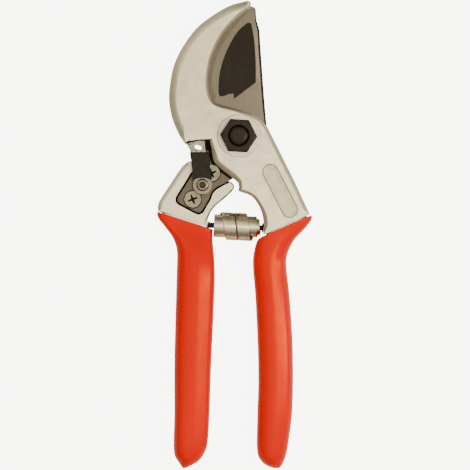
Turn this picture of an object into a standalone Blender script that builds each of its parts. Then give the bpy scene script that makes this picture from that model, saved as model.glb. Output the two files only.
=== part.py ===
"""Bypass pruning shears with a locking latch, closed and lying on their back.

Axes: +Y runs to the tip of the jaws, +X to the hook's handle, +Z up from the table to the nut.
The origin is on the pivot's axis, at the rear face of the pivot bolt's head.
Lengths below are in millimetres; MM turns them into metres where a mesh is made.
"""

import math

import bmesh
import bpy
from mathutils import Matrix, Vector

MM = 0.001
WELD = 0.002                  # points closer than this are one
JOIN_DISTANCE = 0.08          # closest that two points of an outline lie
MITRE_LIMIT = 0.6             # keeps sharp corners of an inset outline from running away
SMOOTH_ANGLE = 35             # degrees; faces that meet at less than this are shaded as one

# ---- Layers, from the table up --------------------------------------------------------------
GAP = 0.3                     # running gap between neighbouring pieces
OVERCUT = 1.0                 # how far a cutter reaches past the face that it opens
BOLT_HEAD_HEIGHT = 4.6
BLADE_REAR = BOLT_HEAD_HEIGHT + GAP
BLADE_THICKNESS = 3.2
BLADE_FRONT = BLADE_REAR + BLADE_THICKNESS
HOOK_REAR = BLADE_FRONT + GAP
HOOK_FRONT = 14.4
SHOULDER_REAR = 2.6           # the hook's handle reaches further back than its jaw
HANDLE_REAR = 1.6             # the blade's handle lies behind the hook
HANDLE_FRONT = BLADE_FRONT
HOOK_BEVEL = 1.5              # heights of the edges' bevels
HANDLE_BEVEL = 0.7
REAR_BEVEL = 0.8
SHOULDER_FRONT = HOOK_FRONT - 1.8     # the shoulder ends inside the hook's plate
CUTTING_LAND = 0.3            # height of the flat left along the blade's edge
HOLLOW_DEPTH = 0.4            # of the coated hollow in the blade's front

# ---- Blank cartouche sunk into the hook's handle ----------------------------------------------
CARTOUCHE = [(13.7, -15.7), (22.1, -32.0)]   # centres of its round ends
CARTOUCHE_RADIUS = 3.6
CARTOUCHE_DEPTH = 0.6
CARTOUCHE_DRAFT = 0.3         # how far its wall leans over its depth

# ---- Pivot ----------------------------------------------------------------------------------
BOLT_DIAMETER = 8.0
BOLT_HOLE = BOLT_DIAMETER + 2 * GAP
BOLT_HEAD_DIAMETER = 19.0
BOLT_HEAD_CHAMFER = 1.2
BOLT_CHAMFER = 0.6
BOLT_TOP = 21.0
SPOTFACE_DIAMETER = 19.2
SPOTFACE_DEPTH = 0.5
WASHER_DIAMETER = 18.4
WASHER_THICKNESS = 0.8
WASHER_CHAMFER = 0.2
WASHER_REAR = HOOK_FRONT - SPOTFACE_DEPTH + GAP
NUT_ACROSS_FLATS = 14.0
NUT_HEIGHT = 5.0
NUT_REAR = WASHER_REAR + WASHER_THICKNESS + GAP
NUT_FRONT = NUT_REAR + NUT_HEIGHT
NUT_CROWN = (0.7, 0.5)        # how far in and how far down its corners are turned off
NUT_TURN = -3.5               # degrees
BLADE_HEEL_RADIUS = 12.9      # round end of the blade about the pivot
SHOULDER_CLEAR_RADIUS = 15.4  # the hook's handle keeps clear of the heel

# ---- Latch ----------------------------------------------------------------------------------
LATCH_PIVOT = (-15.7, -21.3)
NOTCH_RADIUS = 19.3           # about the latch's pivot
LATCH_REACH = 19.6            # the tip ends just behind the notch's lip
LATCH_RELIEF_RADIUS = 23.9    # room behind the notch's lip for the tip as it swings out
LATCH_RELIEF_DEPTH = 3.0      # how far the room overlaps the notch
LATCH_RELIEF_SPREAD = (80, 130)       # degrees about the latch's pivot
LEVER_EYE_RADIUS = 4.3
LEVER_SLOT = [(-16.9, -5.2), (-18.3, -4.7)]   # centres of its round ends
LEVER_SLOT_RADIUS = 0.8
LEVER_BEVEL = 0.4
LEVER_REAR = BLADE_FRONT + GAP
LEVER_THICKNESS = 2.0
LEVER_FRONT = LEVER_REAR + LEVER_THICKNESS
LATCH_RELIEF_FRONT = LEVER_FRONT + 0.4
COVER_REAR = LEVER_FRONT + GAP
COVER_FRONT = 13.4
COVER_BEVEL = 0.9
LATCH_SCREW_DIAMETER = 4.2
LATCH_HOLE = LATCH_SCREW_DIAMETER + 2 * GAP
LATCH_WASHER_DIAMETER = 8.4
LATCH_WASHER_THICKNESS = 0.6
LATCH_WASHER_REAR = LEVER_FRONT + GAP
LATCH_HEAD_DIAMETER = 5.4
LATCH_HEAD_REAR = LATCH_WASHER_REAR + LATCH_WASHER_THICKNESS + GAP
LATCH_HEAD_HEIGHT = 1.4
LATCH_HEAD_DOME = [(0.0, 0.4), (0.25, 0.75), (0.8, 1.0)]   # in from the edge, share of the height
LATCH_SOCKET_RADIUS = 1.6
LATCH_SOCKET_DEPTH = 1.1

# ---- Tang screws ----------------------------------------------------------------------------
TANG_SCREWS = {"tang_screw_lower": (-20.0, -27.5), "tang_screw_upper": (-11.8, -16.1)}
TANG_HEAD_DIAMETER = 7.4
TANG_SCREW_DIAMETER = 4.6
TANG_HEAD_DEPTH = 2.0
CROSS_SLOT = (4.6, 1.0, 0.9)  # length, width and depth of each bar of the cross in a head
CROSS_TURNS = (22, 112)       # degrees
SCREW_SUNK = 0.05             # how far a countersunk head lies below its face
SCREW_SHORT = 0.2             # how far a screw's end lies inside the handle's back
SCREW_CHAMFER = 0.4

# ---- Counter blade under the hook ------------------------------------------------------------
COUNTER_REAR = HOOK_REAR
COUNTER_THICKNESS = 1.8
COUNTER_FRONT = COUNTER_REAR + COUNTER_THICKNESS
COUNTER_SCREWS = {"counter_screw_upper": (-13.8, 37.0), "counter_screw_lower": (-17.6, 19.0)}
COUNTER_HEAD_DIAMETER = 4.4
COUNTER_HEAD_DEPTH = 1.1
COUNTER_SCREW_DIAMETER = 2.6
COUNTER_SCREW_FRONT = 12.6

# ---- Spring ---------------------------------------------------------------------------------
SPRING_MIDDLE = (-2.45, -39.25, 6.3)  # on its axis, at the middle of its widest turn
SPRING_TILT = -2.8                    # degrees, down to the right
STRIP_WIDTH = 5.4
STRIP_THICKNESS = 0.7
SPRING_RADIUS = 5.7                   # of the barrel's turns, at the strip's middle
SPRING_PITCH = 5.75
COIL_GAIN = 1.0                       # how far in each turn lies from the one around it
SPRING_TURNS = (-2.5, 3.2)            # from the middle to the left end and to the right end
BARREL_TURNS = {1: 1.0, -1: 0.74}     # turns that lie side by side, right and left of the middle
STEP_OUT = {1: 1.2, -1: 0.0}          # how far each inner turn stands out, right and left
EASE_TURN = 0.25                      # the part of a turn in which the strip starts to wind in
REST_TURN = {1: 0.0, -1: 0.45}        # the part of a turn it rests there, right and left
STEPS_A_TURN = 24
STUD_DIAMETER = 2.4
STUD_REACH = 4.0                      # each way from the collar's face
STUD_CHAMFER = 0.3
COLLAR_THICKNESS = 0.7
SEATS = {1: (13.25, 2.1), -1: (-10.75, 1.25)}  # right and left: the collar's place and radius

# ---- Grips ----------------------------------------------------------------------------------
GRIP_WALL = 1.9
CORE_INSET = GRIP_WALL + GAP
RING_POINTS = 20
CORE_STATIONS = 10            # stations that the metal core reaches, counted from the collar
HOOK_CORE_LEAD = (-1.2, 2.6)  # from the collar to where each core starts inside its plate
BLADE_CORE_LEAD = (1.0, 2.8)

# Stations down a grip: two opposite edge points x, y, x, y, mid height, half thickness and
# squareness of the section (2 is an ellipse, larger is boxier).
BLADE_GRIP = [
    (-35.6, -33.1, -11.2, -40.8, 5.2, 5.0, 5.0),
    (-34.9, -35.8, -11.3, -42.3, 5.4, 5.2, 4.2),
    (-31.9, -39.7, -11.3, -44.8, 5.9, 5.8, 3.4),
    (-28.6, -44.4, -11.0, -48.2, 6.8, 6.7, 2.8),
    (-26.9, -50.0, -10.6, -52.5, 7.5, 7.5, 2.8),
    (-27.0, -60.0, -10.3, -61.0, 7.8, 7.8, 2.9),
    (-27.5, -78.0, -10.9, -78.0, 7.8, 7.8, 2.9),
    (-28.0, -100.0, -11.9, -100.0, 7.8, 7.8, 2.9),
    (-28.0, -120.0, -12.6, -120.0, 7.8, 7.8, 2.9),
    (-28.3, -133.0, -13.4, -133.0, 7.8, 7.6, 2.9),
    (-27.9, -138.6, -15.2, -138.4, 7.8, 6.8, 2.5),
    (-26.2, -141.7, -17.6, -141.4, 7.8, 5.2, 2.1),
    (-24.9, -143.6, -20.4, -143.1, 7.8, 3.2, 2.0),
    (-24.2, -144.4, -22.6, -144.2, 7.8, 1.2, 2.0),
]
HOOK_GRIP = [
    (10.0, -43.8, 31.9, -34.5, 8.5, 7.1, 5.0),
    (8.4, -44.9, 31.6, -36.6, 8.4, 7.1, 4.2),
    (7.5, -46.8, 28.2, -40.9, 8.2, 7.2, 3.4),
    (6.8, -49.3, 23.9, -45.6, 8.0, 7.4, 2.9),
    (6.2, -53.0, 21.0, -52.2, 7.8, 7.7, 2.5),
    (6.2, -58.0, 20.9, -58.0, 7.8, 7.8, 2.3),
    (7.2, -70.0, 22.2, -70.0, 7.8, 7.8, 2.3),
    (8.1, -88.0, 23.4, -88.0, 7.8, 7.8, 2.3),
    (8.5, -105.0, 23.7, -105.0, 7.8, 7.8, 2.3),
    (8.1, -120.0, 23.3, -120.0, 7.8, 7.8, 2.3),
    (7.8, -133.0, 21.7, -133.0, 7.8, 7.5, 2.3),
    (8.4, -138.9, 20.7, -138.5, 7.8, 6.8, 2.2),
    (10.6, -142.1, 19.5, -141.6, 7.8, 5.2, 2.1),
    (13.2, -143.7, 18.6, -143.3, 7.8, 3.3, 2.0),
    (15.4, -144.4, 17.8, -144.3, 7.8, 1.3, 2.0),
]

# ---- Materials: colour, roughness, metallic ---------------------------------------------------
FINISHES = {
    "cast_aluminium": ((0.62, 0.58, 0.50), 0.42, 1.0),
    "ground_steel": ((0.40, 0.36, 0.31), 0.35, 1.0),
    "bright_steel": ((0.50, 0.46, 0.40), 0.28, 1.0),
    "black_steel": ((0.028, 0.022, 0.019), 0.45, 0.6),
    "black_plastic": ((0.022, 0.019, 0.017), 0.50, 0.0),
    "orange_vinyl": ((0.80, 0.065, 0.023), 0.38, 0.0),
    "spring_steel": ((0.47, 0.42, 0.34), 0.24, 1.0),
}


# ---- Curves -----------------------------------------------------------------------------------
def spline(points, per=4):
    """A smooth run through the points (any number of values each), per steps a span."""
    first = tuple(2 * a - b for a, b in zip(points[0], points[1]))
    last = tuple(2 * a - b for a, b in zip(points[-1], points[-2]))
    keys = [first] + list(points) + [last]
    run = []
    for i in range(1, len(keys) - 2):
        for step in range(per):
            t = step / per
            run.append(tuple(catmull(*values, t) for values in zip(*keys[i - 1:i + 3])))
    run.append(tuple(points[-1]))
    return run


def catmull(a, b, c, d, t):
    """The value at t of the way from b to c, with a and d as their neighbours."""
    return 0.5 * (2 * b + (c - a) * t + (2 * a - 5 * b + 4 * c - d) * t ** 2
                  + (3 * b - a - 3 * c + d) * t ** 3)


def arc(centre, radius, start, end, steps):
    """Points on a circle from start to end, in degrees."""
    run = []
    for i in range(steps + 1):
        angle = math.radians(start + (end - start) * i / steps)
        run.append((centre[0] + radius * math.cos(angle), centre[1] + radius * math.sin(angle)))
    return run


def stadium(ends, radius, width=0.0):
    """A ring with round ends about two points."""
    first, second = ends
    slope = bearing(second, first) - 90
    return joined((arc(first, radius, slope, slope + 180, 10), width),
                  (arc(second, radius, slope + 180, slope + 360, 10), width))


def bearing(centre, point):
    """Degrees from +X of a point as seen from a centre."""
    return math.degrees(math.atan2(point[1] - centre[1], point[0] - centre[0]))


def joined(*runs):
    """One closed ring of x, y, edge width from runs of points, each with its edge width."""
    ring = []
    for points, width in runs:
        for x, y in points:
            if not ring or math.dist(ring[-1][:2], (x, y)) > JOIN_DISTANCE:
                ring.append((x, y, width))
    if math.dist(ring[-1][:2], ring[0][:2]) < JOIN_DISTANCE:
        ring.pop()
    if area(ring) < 0:
        ring.reverse()
    return ring


def area(ring):
    """Signed area of a ring, positive when it runs anticlockwise."""
    following = ring[1:] + ring[:1]
    return 0.5 * sum(a[0] * b[1] - b[0] * a[1] for a, b in zip(ring, following))


def eased(ring, rounds=3):
    """The same ring with its edge widths blended from one run to the next."""
    for _ in range(rounds):
        sides = zip(ring[-1:] + ring[:-1], ring, ring[1:] + ring[:1])
        ring = [(b[0], b[1], 0.25 * a[2] + 0.5 * b[2] + 0.25 * c[2]) for a, b, c in sides]
    return ring


def inset(ring, share):
    """The ring moved inwards by a share of each point's edge width."""
    moved = []
    for a, b, c in zip(ring[-1:] + ring[:-1], ring, ring[1:] + ring[:1]):
        back = Vector((b[0] - a[0], b[1] - a[1])).normalized()
        ahead = Vector((c[0] - b[0], c[1] - b[1])).normalized()
        inward = Vector((-back.y - ahead.y, back.x + ahead.x)).normalized()
        stretch = 1.0 / max(MITRE_LIMIT, inward.dot(Vector((-ahead.y, ahead.x))))
        step = inward * b[2] * share * stretch
        moved.append((b[0] + step.x, b[1] + step.y))
    return moved


# ---- Solids -----------------------------------------------------------------------------------
def finish(mesh, name):
    """Weld a mesh, turn its faces outwards and make it an object."""
    bmesh.ops.remove_doubles(mesh, verts=mesh.verts, dist=WELD * MM)
    bmesh.ops.recalc_face_normals(mesh, faces=mesh.faces)
    if mesh.calc_volume(signed=True) < 0:
        bmesh.ops.reverse_faces(mesh, faces=mesh.faces)
    data = bpy.data.meshes.new(name)
    mesh.to_mesh(data)
    mesh.free()
    solid = bpy.data.objects.new(name, data)
    bpy.context.scene.collection.objects.link(solid)
    return solid


def skin(name, rings):
    """A closed solid through rings of equal count, capped at both ends."""
    mesh = bmesh.new()
    rows = [[mesh.verts.new(Vector(point) * MM) for point in ring] for ring in rings]
    for low, high in zip(rows, rows[1:]):
        for i in range(len(low)):
            j = (i + 1) % len(low)
            mesh.faces.new((low[i], low[j], high[j], high[i]))
    mesh.faces.new(rows[0])
    mesh.faces.new(rows[-1])
    return finish(mesh, name)


def plate(name, ring, levels):
    """An outline raised through levels: height, and how far its edge widths step it in."""
    return skin(name, [[(x, y, z) for x, y in inset(ring, share)] for z, share in levels])


def rounded_front(rear, front, bevel):
    """Levels of a plate whose front edge is bevelled in two steps."""
    return [(rear, 0.0), (front - bevel, 0.0), (front - bevel / 3, 0.5), (front, 1.0)]


def lathe(name, profile, centre, steps=32):
    """A turned solid about a vertical axis from radius, height pairs."""
    rings = []
    for radius, z in profile:
        rings.append([(x, y, z) for x, y in arc(centre, radius, 0, 360, steps)[:-1]])
    return skin(name, rings)


def collapse(solid):
    """Apply a solid's modifiers to its mesh."""
    seen = solid.evaluated_get(bpy.context.evaluated_depsgraph_get())
    old = solid.data
    solid.data = bpy.data.meshes.new_from_object(seen)
    solid.modifiers.clear()
    bpy.data.meshes.remove(old)


def combine(solid, tools, operation):
    """Add or cut the tools, which are used up."""
    for tool in tools:
        step = solid.modifiers.new(operation.lower(), "BOOLEAN")
        step.operation = operation
        step.solver = "EXACT"
        step.object = tool
        collapse(solid)
        bpy.data.objects.remove(tool)


def cut(solid, *tools):
    combine(solid, tools, "DIFFERENCE")


def add(solid, *tools):
    combine(solid, tools, "UNION")


def bore(centre, diameter, low, high, steps=32):
    """A plain hole's cutter."""
    return lathe("bore", [(diameter / 2, low), (diameter / 2, high)], centre, steps)


def countersink(centre, head, shank, depth, mouth, end, outwards=1):
    """A countersunk hole's cutter, its mouth on a face at the height mouth."""
    slope = (head - shank) / 2 / depth
    profile = [
        (shank / 2 + GAP, end),
        (shank / 2 + GAP, mouth - outwards * depth),
        (head / 2 + GAP + slope * GAP, mouth + outwards * GAP),
    ]
    return lathe("countersink", profile, centre)


# ---- Outlines -----------------------------------------------------------------------------------
def hook_inner_edge():
    """The hook's curved throat, from its tip to where it crosses the blade's back."""
    return spline([
        (5.4, 55.8), (2.0, 53.3), (-2.7, 49.1), (-6.9, 43.8), (-10.1, 38.0), (-12.2, 32.7),
        (-13.2, 27.5), (-13.4, 22.8), (-12.7, 18.5), (-11.2, 15.4), (-9.0, 13.8), (-4.3, 12.5),
        (1.5, 10.9), (6.2, 9.1), (8.9, 7.5), (12.2, 4.3),
    ], 2)


def shoulder_inner_edge():
    """Down the inner side of the hook's handle, from the closing stop to the grip."""
    return spline([
        (-0.1, -24.0), (5.0, -25.9), (7.9, -28.9), (9.9, -33.0), (10.8, -37.8), (10.7, -43.1),
    ], 2)


def hook_ring():
    outer = spline([
        (-22.9, -3.9), (-25.1, -0.9), (-27.7, 4.3), (-29.5, 10.0), (-30.3, 16.2), (-29.8, 22.6),
        (-28.2, 30.4), (-24.6, 38.2), (-19.0, 46.0), (-12.9, 51.2), (-4.2, 56.4), (2.9, 58.45),
    ], 3)
    tip = arc((3.7, 57.0), 1.7, 100, -25, 6)
    right = spline([(12.2, 4.3), (13.6, 1.7), (16.2, -3.5), (24.0, -19.1), (28.8, -29.5),
                    (31.0, -34.1)], 2)
    stop = [(-0.1, -24.0), (0.1, -22.0)]
    lower_left = spline([(-0.3, -20.3), (-3.3, -17.7), (-8.0, -14.1), (-10.3, -11.9),
                         (-11.3, -9.6), (-11.8, -6.0)], 3)
    notch_right = bearing(LATCH_PIVOT, (-12.6, -2.4))
    notch_left = bearing(LATCH_PIVOT, (-22.9, -3.4))
    notch = arc(LATCH_PIVOT, NOTCH_RADIUS, notch_right, notch_left, 8)
    return eased(joined(
        (outer, 3.2), (tip, 0.7), (hook_inner_edge()[1:], 1.4), (right[1:], 1.8),
        (shoulder_inner_edge()[:0:-1], 1.3), (stop, 0.9), (lower_left, 1.6), (notch, 0.5),
    ))


def shoulder_ring():
    """The hook's handle behind its jaw, clear of the blade's heel."""
    top = arc((0, 0), SHOULDER_CLEAR_RADIUS, -80, -12, 12)
    right = [(16.9, -5.4), (23.8, -19.2), (28.6, -29.6), (30.6, -34.1)]
    left = [(10.5, -43.0)] + shoulder_inner_edge()[::-1][1:-2] + [(0.5, -23.9), (0.6, -19.6)]
    left = [(x + 0.25, y) for x, y in left]
    return eased(joined((top, 0.6), (right, 1.0), (left, 0.8)), 1)


def blade_ring():
    """The blade and its tang; the edge width is the cutting bevel's."""
    edge = spline([
        (4.4, 56.7), (0.6, 54.9), (-4.4, 50.5), (-8.8, 45.0), (-12.1, 38.9), (-14.3, 33.3),
        (-15.4, 27.7), (-15.6, 22.4), (-15.0, 17.4),
    ], 3)
    left = spline([(-15.0, 17.4), (-14.4, 8.0), (-14.4, 1.0), (-15.2, -5.0), (-17.3, -11.4)], 3)
    tang = [(-20.45, -16.9)]
    tang += spline([(-26.5, -26.6), (-26.6, -28.2), (-25.6, -29.3)], 3)
    tang += spline([(-18.6, -33.0), (-17.2, -33.35), (-15.9, -32.6)], 3)
    tang += spline([(-12.7, -27.1), (-12.05, -25.2), (-9.95, -22.6), (-3.8, -19.25),
                    (-0.4, -16.6), (2.3, -12.7)], 3)
    heel = arc((0, 0), BLADE_HEEL_RADIUS, -78, 19, 16)
    back = [(12.2, 4.3), (11.6, 11.0), (10.9, 19.6), (9.6, 38.0), (9.1, 46.0)]
    tip = [(8.0, 49.6), (7.75, 51.5), (7.4, 55.2), (6.8, 56.0)]
    return eased(joined((edge, 3.6), (left, 0.3), (tang, 0.3), (heel, 0.3), (back, 0.3), (tip, 0.3)), 2)


def blade_hollow_ring():
    """The coated hollow in the blade's front face."""
    left = spline([(-8.3, 17.3), (-8.8, 19.5), (-8.4, 26.4), (-6.8, 32.9), (-4.2, 39.2),
                   (-0.6, 45.2), (3.2, 48.8)], 3)
    top = arc((4.3, 48.0), 1.3, 120, 20, 4)
    right = spline([(5.6, 48.2), (6.6, 42.5), (7.2, 35.0), (7.4, 29.0), (7.4, 23.3)], 3)
    foot = [(-2.0, 16.2), (-2.2, 18.4), (-4.2, 18.3), (-6.8, 17.2)]
    return joined((left, 0.0), (top, 0.0), (right, 0.0), (foot, 0.0))


def counter_ring(grow=0.0):
    """The counter blade: a crescent whose edge shows along the hook's throat."""
    edge = spline([
        (4.6, 55.0), (-1.2, 48.4), (-5.3, 43.0), (-8.4, 37.2), (-10.4, 32.0), (-11.4, 27.3),
        (-11.7, 22.8), (-11.1, 19.2), (-9.9, 16.8),
    ], 3)
    back = spline([
        (-11.6, 14.2), (-16.0, 12.6), (-20.6, 14.6), (-22.0, 20.0), (-21.2, 28.0),
        (-18.4, 36.0), (-12.6, 44.6), (-5.0, 51.4), (2.8, 56.0),
    ], 3)
    return joined((edge, -grow), (back, -grow))


def handle_ring():
    """The blade's handle, with the finger that meets the hook's closing stop."""
    outer = spline([(-22.4, -11.3), (-25.1, -13.9), (-30.3, -21.7), (-33.7, -26.9),
                    (-35.0, -29.6), (-35.2, -32.7)], 3)
    collar = [(-35.0, -32.8), (-14.4, -38.9)]
    inner = spline([(-14.2, -38.4), (-12.9, -34.7), (-11.4, -31.9), (-8.9, -29.4),
                    (-5.9, -26.9), (-2.7, -24.0)], 3)
    finger = arc((-4.0, -22.0), 2.1, -50, 80, 8)
    top = spline([(-4.2, -19.6), (-6.4, -16.6), (-10.5, -12.4), (-15.6, -10.2), (-22.2, -11.2)], 3)
    return eased(joined((outer, 1.3), (collar, 0.3), (inner, 0.9), (finger, 0.6), (top, 0.3)), 1)


def recess_ring():
    """The blade handle's recess for the tang, open towards the pivot."""
    top = [(4.0, -4.5), (-13.6, -4.5)]
    corner = spline([(-27.3, -26.4), (-27.4, -28.5), (-26.2, -29.9)], 3)
    foot = spline([(-18.9, -33.75), (-17.2, -34.2), (-15.4, -33.3)], 3)
    right = spline([(-11.9, -27.3), (-11.35, -25.6), (-9.45, -23.2), (-3.4, -19.95)], 3)
    return joined((top, 0.0), (corner, 0.0), (foot, 0.0), (right, 0.0), ([(4.0, -16.0)], 0.0))


def lever_ring():
    tip_left = bearing(LATCH_PIVOT, (-22.1, -3.7))
    tip_right = bearing(LATCH_PIVOT, (-15.1, -2.7))
    tip = arc(LATCH_PIVOT, LATCH_REACH, tip_right, tip_left, 6)
    left = [(-22.0, -4.3), (-20.9, -6.5), (-20.2, -12.0), (-19.9, -19.3)]
    eye = arc(LATCH_PIVOT, LEVER_EYE_RADIUS, 160, 395, 16)
    right = [(-12.6, -17.0), (-12.4, -10.0), (-12.8, -7.4), (-14.6, -6.4), (-15.0, -3.4)]
    return joined((tip, 0.4), (left, 0.4), (eye, 0.4), (right, 0.4))


def cover_ring():
    foot = spline([(-12.1, -19.2), (-13.4, -18.55), (-15.8, -18.15), (-18.0, -18.5), (-19.7, -19.5)], 3)
    left = [(-20.5, -12.0)]
    top = [(-21.3, -7.1), (-13.6, -7.0)]
    right = [(-12.9, -7.8), (-12.6, -13.2), (-11.8, -15.4), (-11.7, -18.6)]
    return eased(joined((foot, 0.5), (left, 0.8), (top, 0.6), (right, 0.8)), 1)


# ---- Lofts ------------------------------------------------------------------------------------
def section(station, depth):
    """A grip's cross-section at a station, drawn in by depth."""
    ax, ay, bx, by, middle, half, square = station
    span = Vector((bx - ax, by - ay))
    centre = Vector((ax + bx, ay + by)) / 2
    reach = span.length / 2 - depth
    rise = half - depth
    points = []
    for i in range(RING_POINTS):
        angle = 2 * math.pi * (i + 0.5) / RING_POINTS
        across = math.copysign(abs(math.cos(angle)) ** (2 / square), math.cos(angle))
        up = math.copysign(abs(math.sin(angle)) ** (2 / square), math.sin(angle))
        spot = centre + span.normalized() * reach * across
        points.append((spot.x, spot.y, middle + rise * up))
    return points


def grip(name, stations):
    """A sleeve that is closed at its foot and open at its collar."""
    outside = [section(station, 0.0) for station in spline(stations, 2)]
    inside = [section(station, GRIP_WALL) for station in spline(stations[:CORE_STATIONS], 2)]
    return skin(name, inside[::-1] + outside)


def core(stations, lead):
    """The metal under a grip, from a little way into the handle's plate."""
    reach = spline(stations[:CORE_STATIONS], 2)[:-1]
    first = reach[0]
    start = (first[0] + lead[0], first[1] + lead[1], first[2] + lead[0], first[3] + lead[1])
    rings = [section(start + first[4:], CORE_INSET)]
    rings += [section(station, CORE_INSET) for station in reach]
    return skin("core", rings)


# ---- Pieces -----------------------------------------------------------------------------------
def latch_relief():
    """Room behind the notch's lip for the latch's tip, which the hook's front hides."""
    low, high = LATCH_RELIEF_SPREAD
    outer = arc(LATCH_PIVOT, LATCH_RELIEF_RADIUS, low, high, 12)
    inner = arc(LATCH_PIVOT, NOTCH_RADIUS - LATCH_RELIEF_DEPTH, high, low, 12)
    ring = joined((outer, 0.0), (inner, 0.0))
    return plate("relief", ring, [(HOOK_REAR - OVERCUT, 0.0), (LATCH_RELIEF_FRONT, 0.0)])


def counter_seat():
    """The pocket that the counter blade lies in, with its two screw holes."""
    ring = eased(counter_ring(GAP))
    seat = plate("seat", ring, [(HOOK_REAR - OVERCUT, 1.0), (COUNTER_FRONT + GAP, 1.0)])
    holes = [bore(spot, COUNTER_SCREW_DIAMETER + 2 * GAP, COUNTER_REAR, COUNTER_SCREW_FRONT + GAP, 16)
             for spot in COUNTER_SCREWS.values()]
    return [seat] + holes


def make_hook_body():
    body = plate("hook_body", hook_ring(), rounded_front(HOOK_REAR, HOOK_FRONT, HOOK_BEVEL))
    cartouche = plate("cartouche", stadium(CARTOUCHE, CARTOUCHE_RADIUS, CARTOUCHE_DRAFT), [
        (HOOK_FRONT - CARTOUCHE_DEPTH, 1.0), (HOOK_FRONT + CARTOUCHE_DEPTH, -1.0)])
    cut(body,
        bore((0, 0), BOLT_HOLE, HOOK_REAR - OVERCUT, HOOK_FRONT + OVERCUT),
        bore((0, 0), SPOTFACE_DIAMETER, HOOK_FRONT - SPOTFACE_DEPTH, HOOK_FRONT + OVERCUT, 48),
        cartouche, latch_relief(), *counter_seat())
    shoulder = plate("shoulder", shoulder_ring(), [
        (SHOULDER_REAR, 1.0), (SHOULDER_REAR + REAR_BEVEL, 0.0), (SHOULDER_FRONT, 0.0)])
    add(shoulder, core(HOOK_GRIP, HOOK_CORE_LEAD))
    cut(shoulder, stud_hole(1))
    add(body, shoulder)
    return body


def make_counter_blade():
    piece = plate("counter_blade", counter_ring(), [(COUNTER_REAR, 0.0), (COUNTER_FRONT, 0.0)])
    holes = [countersink(spot, COUNTER_HEAD_DIAMETER, COUNTER_SCREW_DIAMETER, COUNTER_HEAD_DEPTH,
                         COUNTER_REAR, COUNTER_FRONT + OVERCUT, -1)
             for spot in COUNTER_SCREWS.values()]
    cut(piece, *holes)
    return piece


def make_counter_screw(name):
    head = COUNTER_REAR + SCREW_SUNK
    profile = [
        (COUNTER_HEAD_DIAMETER / 2, head),
        (COUNTER_SCREW_DIAMETER / 2, head + COUNTER_HEAD_DEPTH),
        (COUNTER_SCREW_DIAMETER / 2, COUNTER_SCREW_FRONT),
    ]
    return lathe(name, profile, COUNTER_SCREWS[name], 20)


def make_blade():
    """The blade and its tang in one plate, bevelled behind its edge and hollow in front."""
    blade = plate("blade", blade_ring(), [
        (BLADE_REAR, 1.0), (BLADE_FRONT - CUTTING_LAND, 0.0), (BLADE_FRONT, 0.0)])
    hollow = plate("hollow", blade_hollow_ring(), [
        (BLADE_FRONT - HOLLOW_DEPTH, 0.0), (BLADE_FRONT + OVERCUT, 0.0)])
    holes = [bore((0, 0), BOLT_HOLE, BLADE_REAR - OVERCUT, BLADE_FRONT + OVERCUT),
             bore(LATCH_PIVOT, LATCH_HOLE, BLADE_REAR - OVERCUT, BLADE_FRONT + OVERCUT)]
    for spot in TANG_SCREWS.values():
        holes.append(countersink(spot, TANG_HEAD_DIAMETER, TANG_SCREW_DIAMETER, TANG_HEAD_DEPTH,
                                 BLADE_FRONT, BLADE_REAR - OVERCUT))
    cut(blade, hollow, *holes)
    return blade


def make_blade_handle():
    body = plate("blade_handle", handle_ring(), [
        (HANDLE_REAR, 1.0), (HANDLE_REAR + REAR_BEVEL, 0.0),
        (HANDLE_FRONT - HANDLE_BEVEL, 0.0), (HANDLE_FRONT, 1.0)])
    add(body, core(BLADE_GRIP, BLADE_CORE_LEAD))
    holes = [bore(LATCH_PIVOT, LATCH_HOLE, HANDLE_REAR - OVERCUT, HANDLE_FRONT)]
    for spot in TANG_SCREWS.values():
        holes.append(bore(spot, TANG_SCREW_DIAMETER + 2 * GAP, HANDLE_REAR - OVERCUT, HANDLE_FRONT, 24))
    recess = plate("recess", recess_ring(), [(BLADE_REAR - GAP, 0.0), (HANDLE_FRONT + OVERCUT, 0.0)])
    cut(body, recess, stud_hole(-1), *holes)
    return body


def cross_bar(centre, top, turn):
    """One bar of the cross-shaped recess in a screw's head."""
    length, width, depth = CROSS_SLOT
    spin = Matrix.Rotation(math.radians(turn), 2)
    ring = []
    for along, across in ((-1, -1), (1, -1), (1, 1), (-1, 1)):
        corner = Vector(centre) + spin @ Vector((along * length / 2, across * width / 2))
        ring.append((corner.x, corner.y, 0.0))
    return plate("cross_bar", ring, [(top - depth, 0.0), (top + OVERCUT, 0.0)])


def screw_shank(radius, top):
    """Profile of a screw's shank, from its chamfered end inside the handle's back."""
    end = HANDLE_REAR + SCREW_SHORT
    return [(radius - SCREW_CHAMFER, end), (radius, end + SCREW_CHAMFER), (radius, top)]


def make_tang_screw(name):
    centre = TANG_SCREWS[name]
    top = BLADE_FRONT - SCREW_SUNK
    profile = screw_shank(TANG_SCREW_DIAMETER / 2, top - TANG_HEAD_DEPTH)
    screw = lathe(name, profile + [(TANG_HEAD_DIAMETER / 2, top)], centre)
    cut(screw, *[cross_bar(centre, top, turn) for turn in CROSS_TURNS])
    return screw


def make_pivot_bolt():
    head = BOLT_HEAD_DIAMETER / 2
    shank = BOLT_DIAMETER / 2
    profile = [
        (head - BOLT_HEAD_CHAMFER, 0.0), (head, BOLT_HEAD_CHAMFER), (head, BOLT_HEAD_HEIGHT),
        (shank, BOLT_HEAD_HEIGHT), (shank, BOLT_TOP - BOLT_CHAMFER), (shank - BOLT_CHAMFER, BOLT_TOP),
    ]
    return lathe("pivot_bolt", profile, (0, 0), 40)


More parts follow.
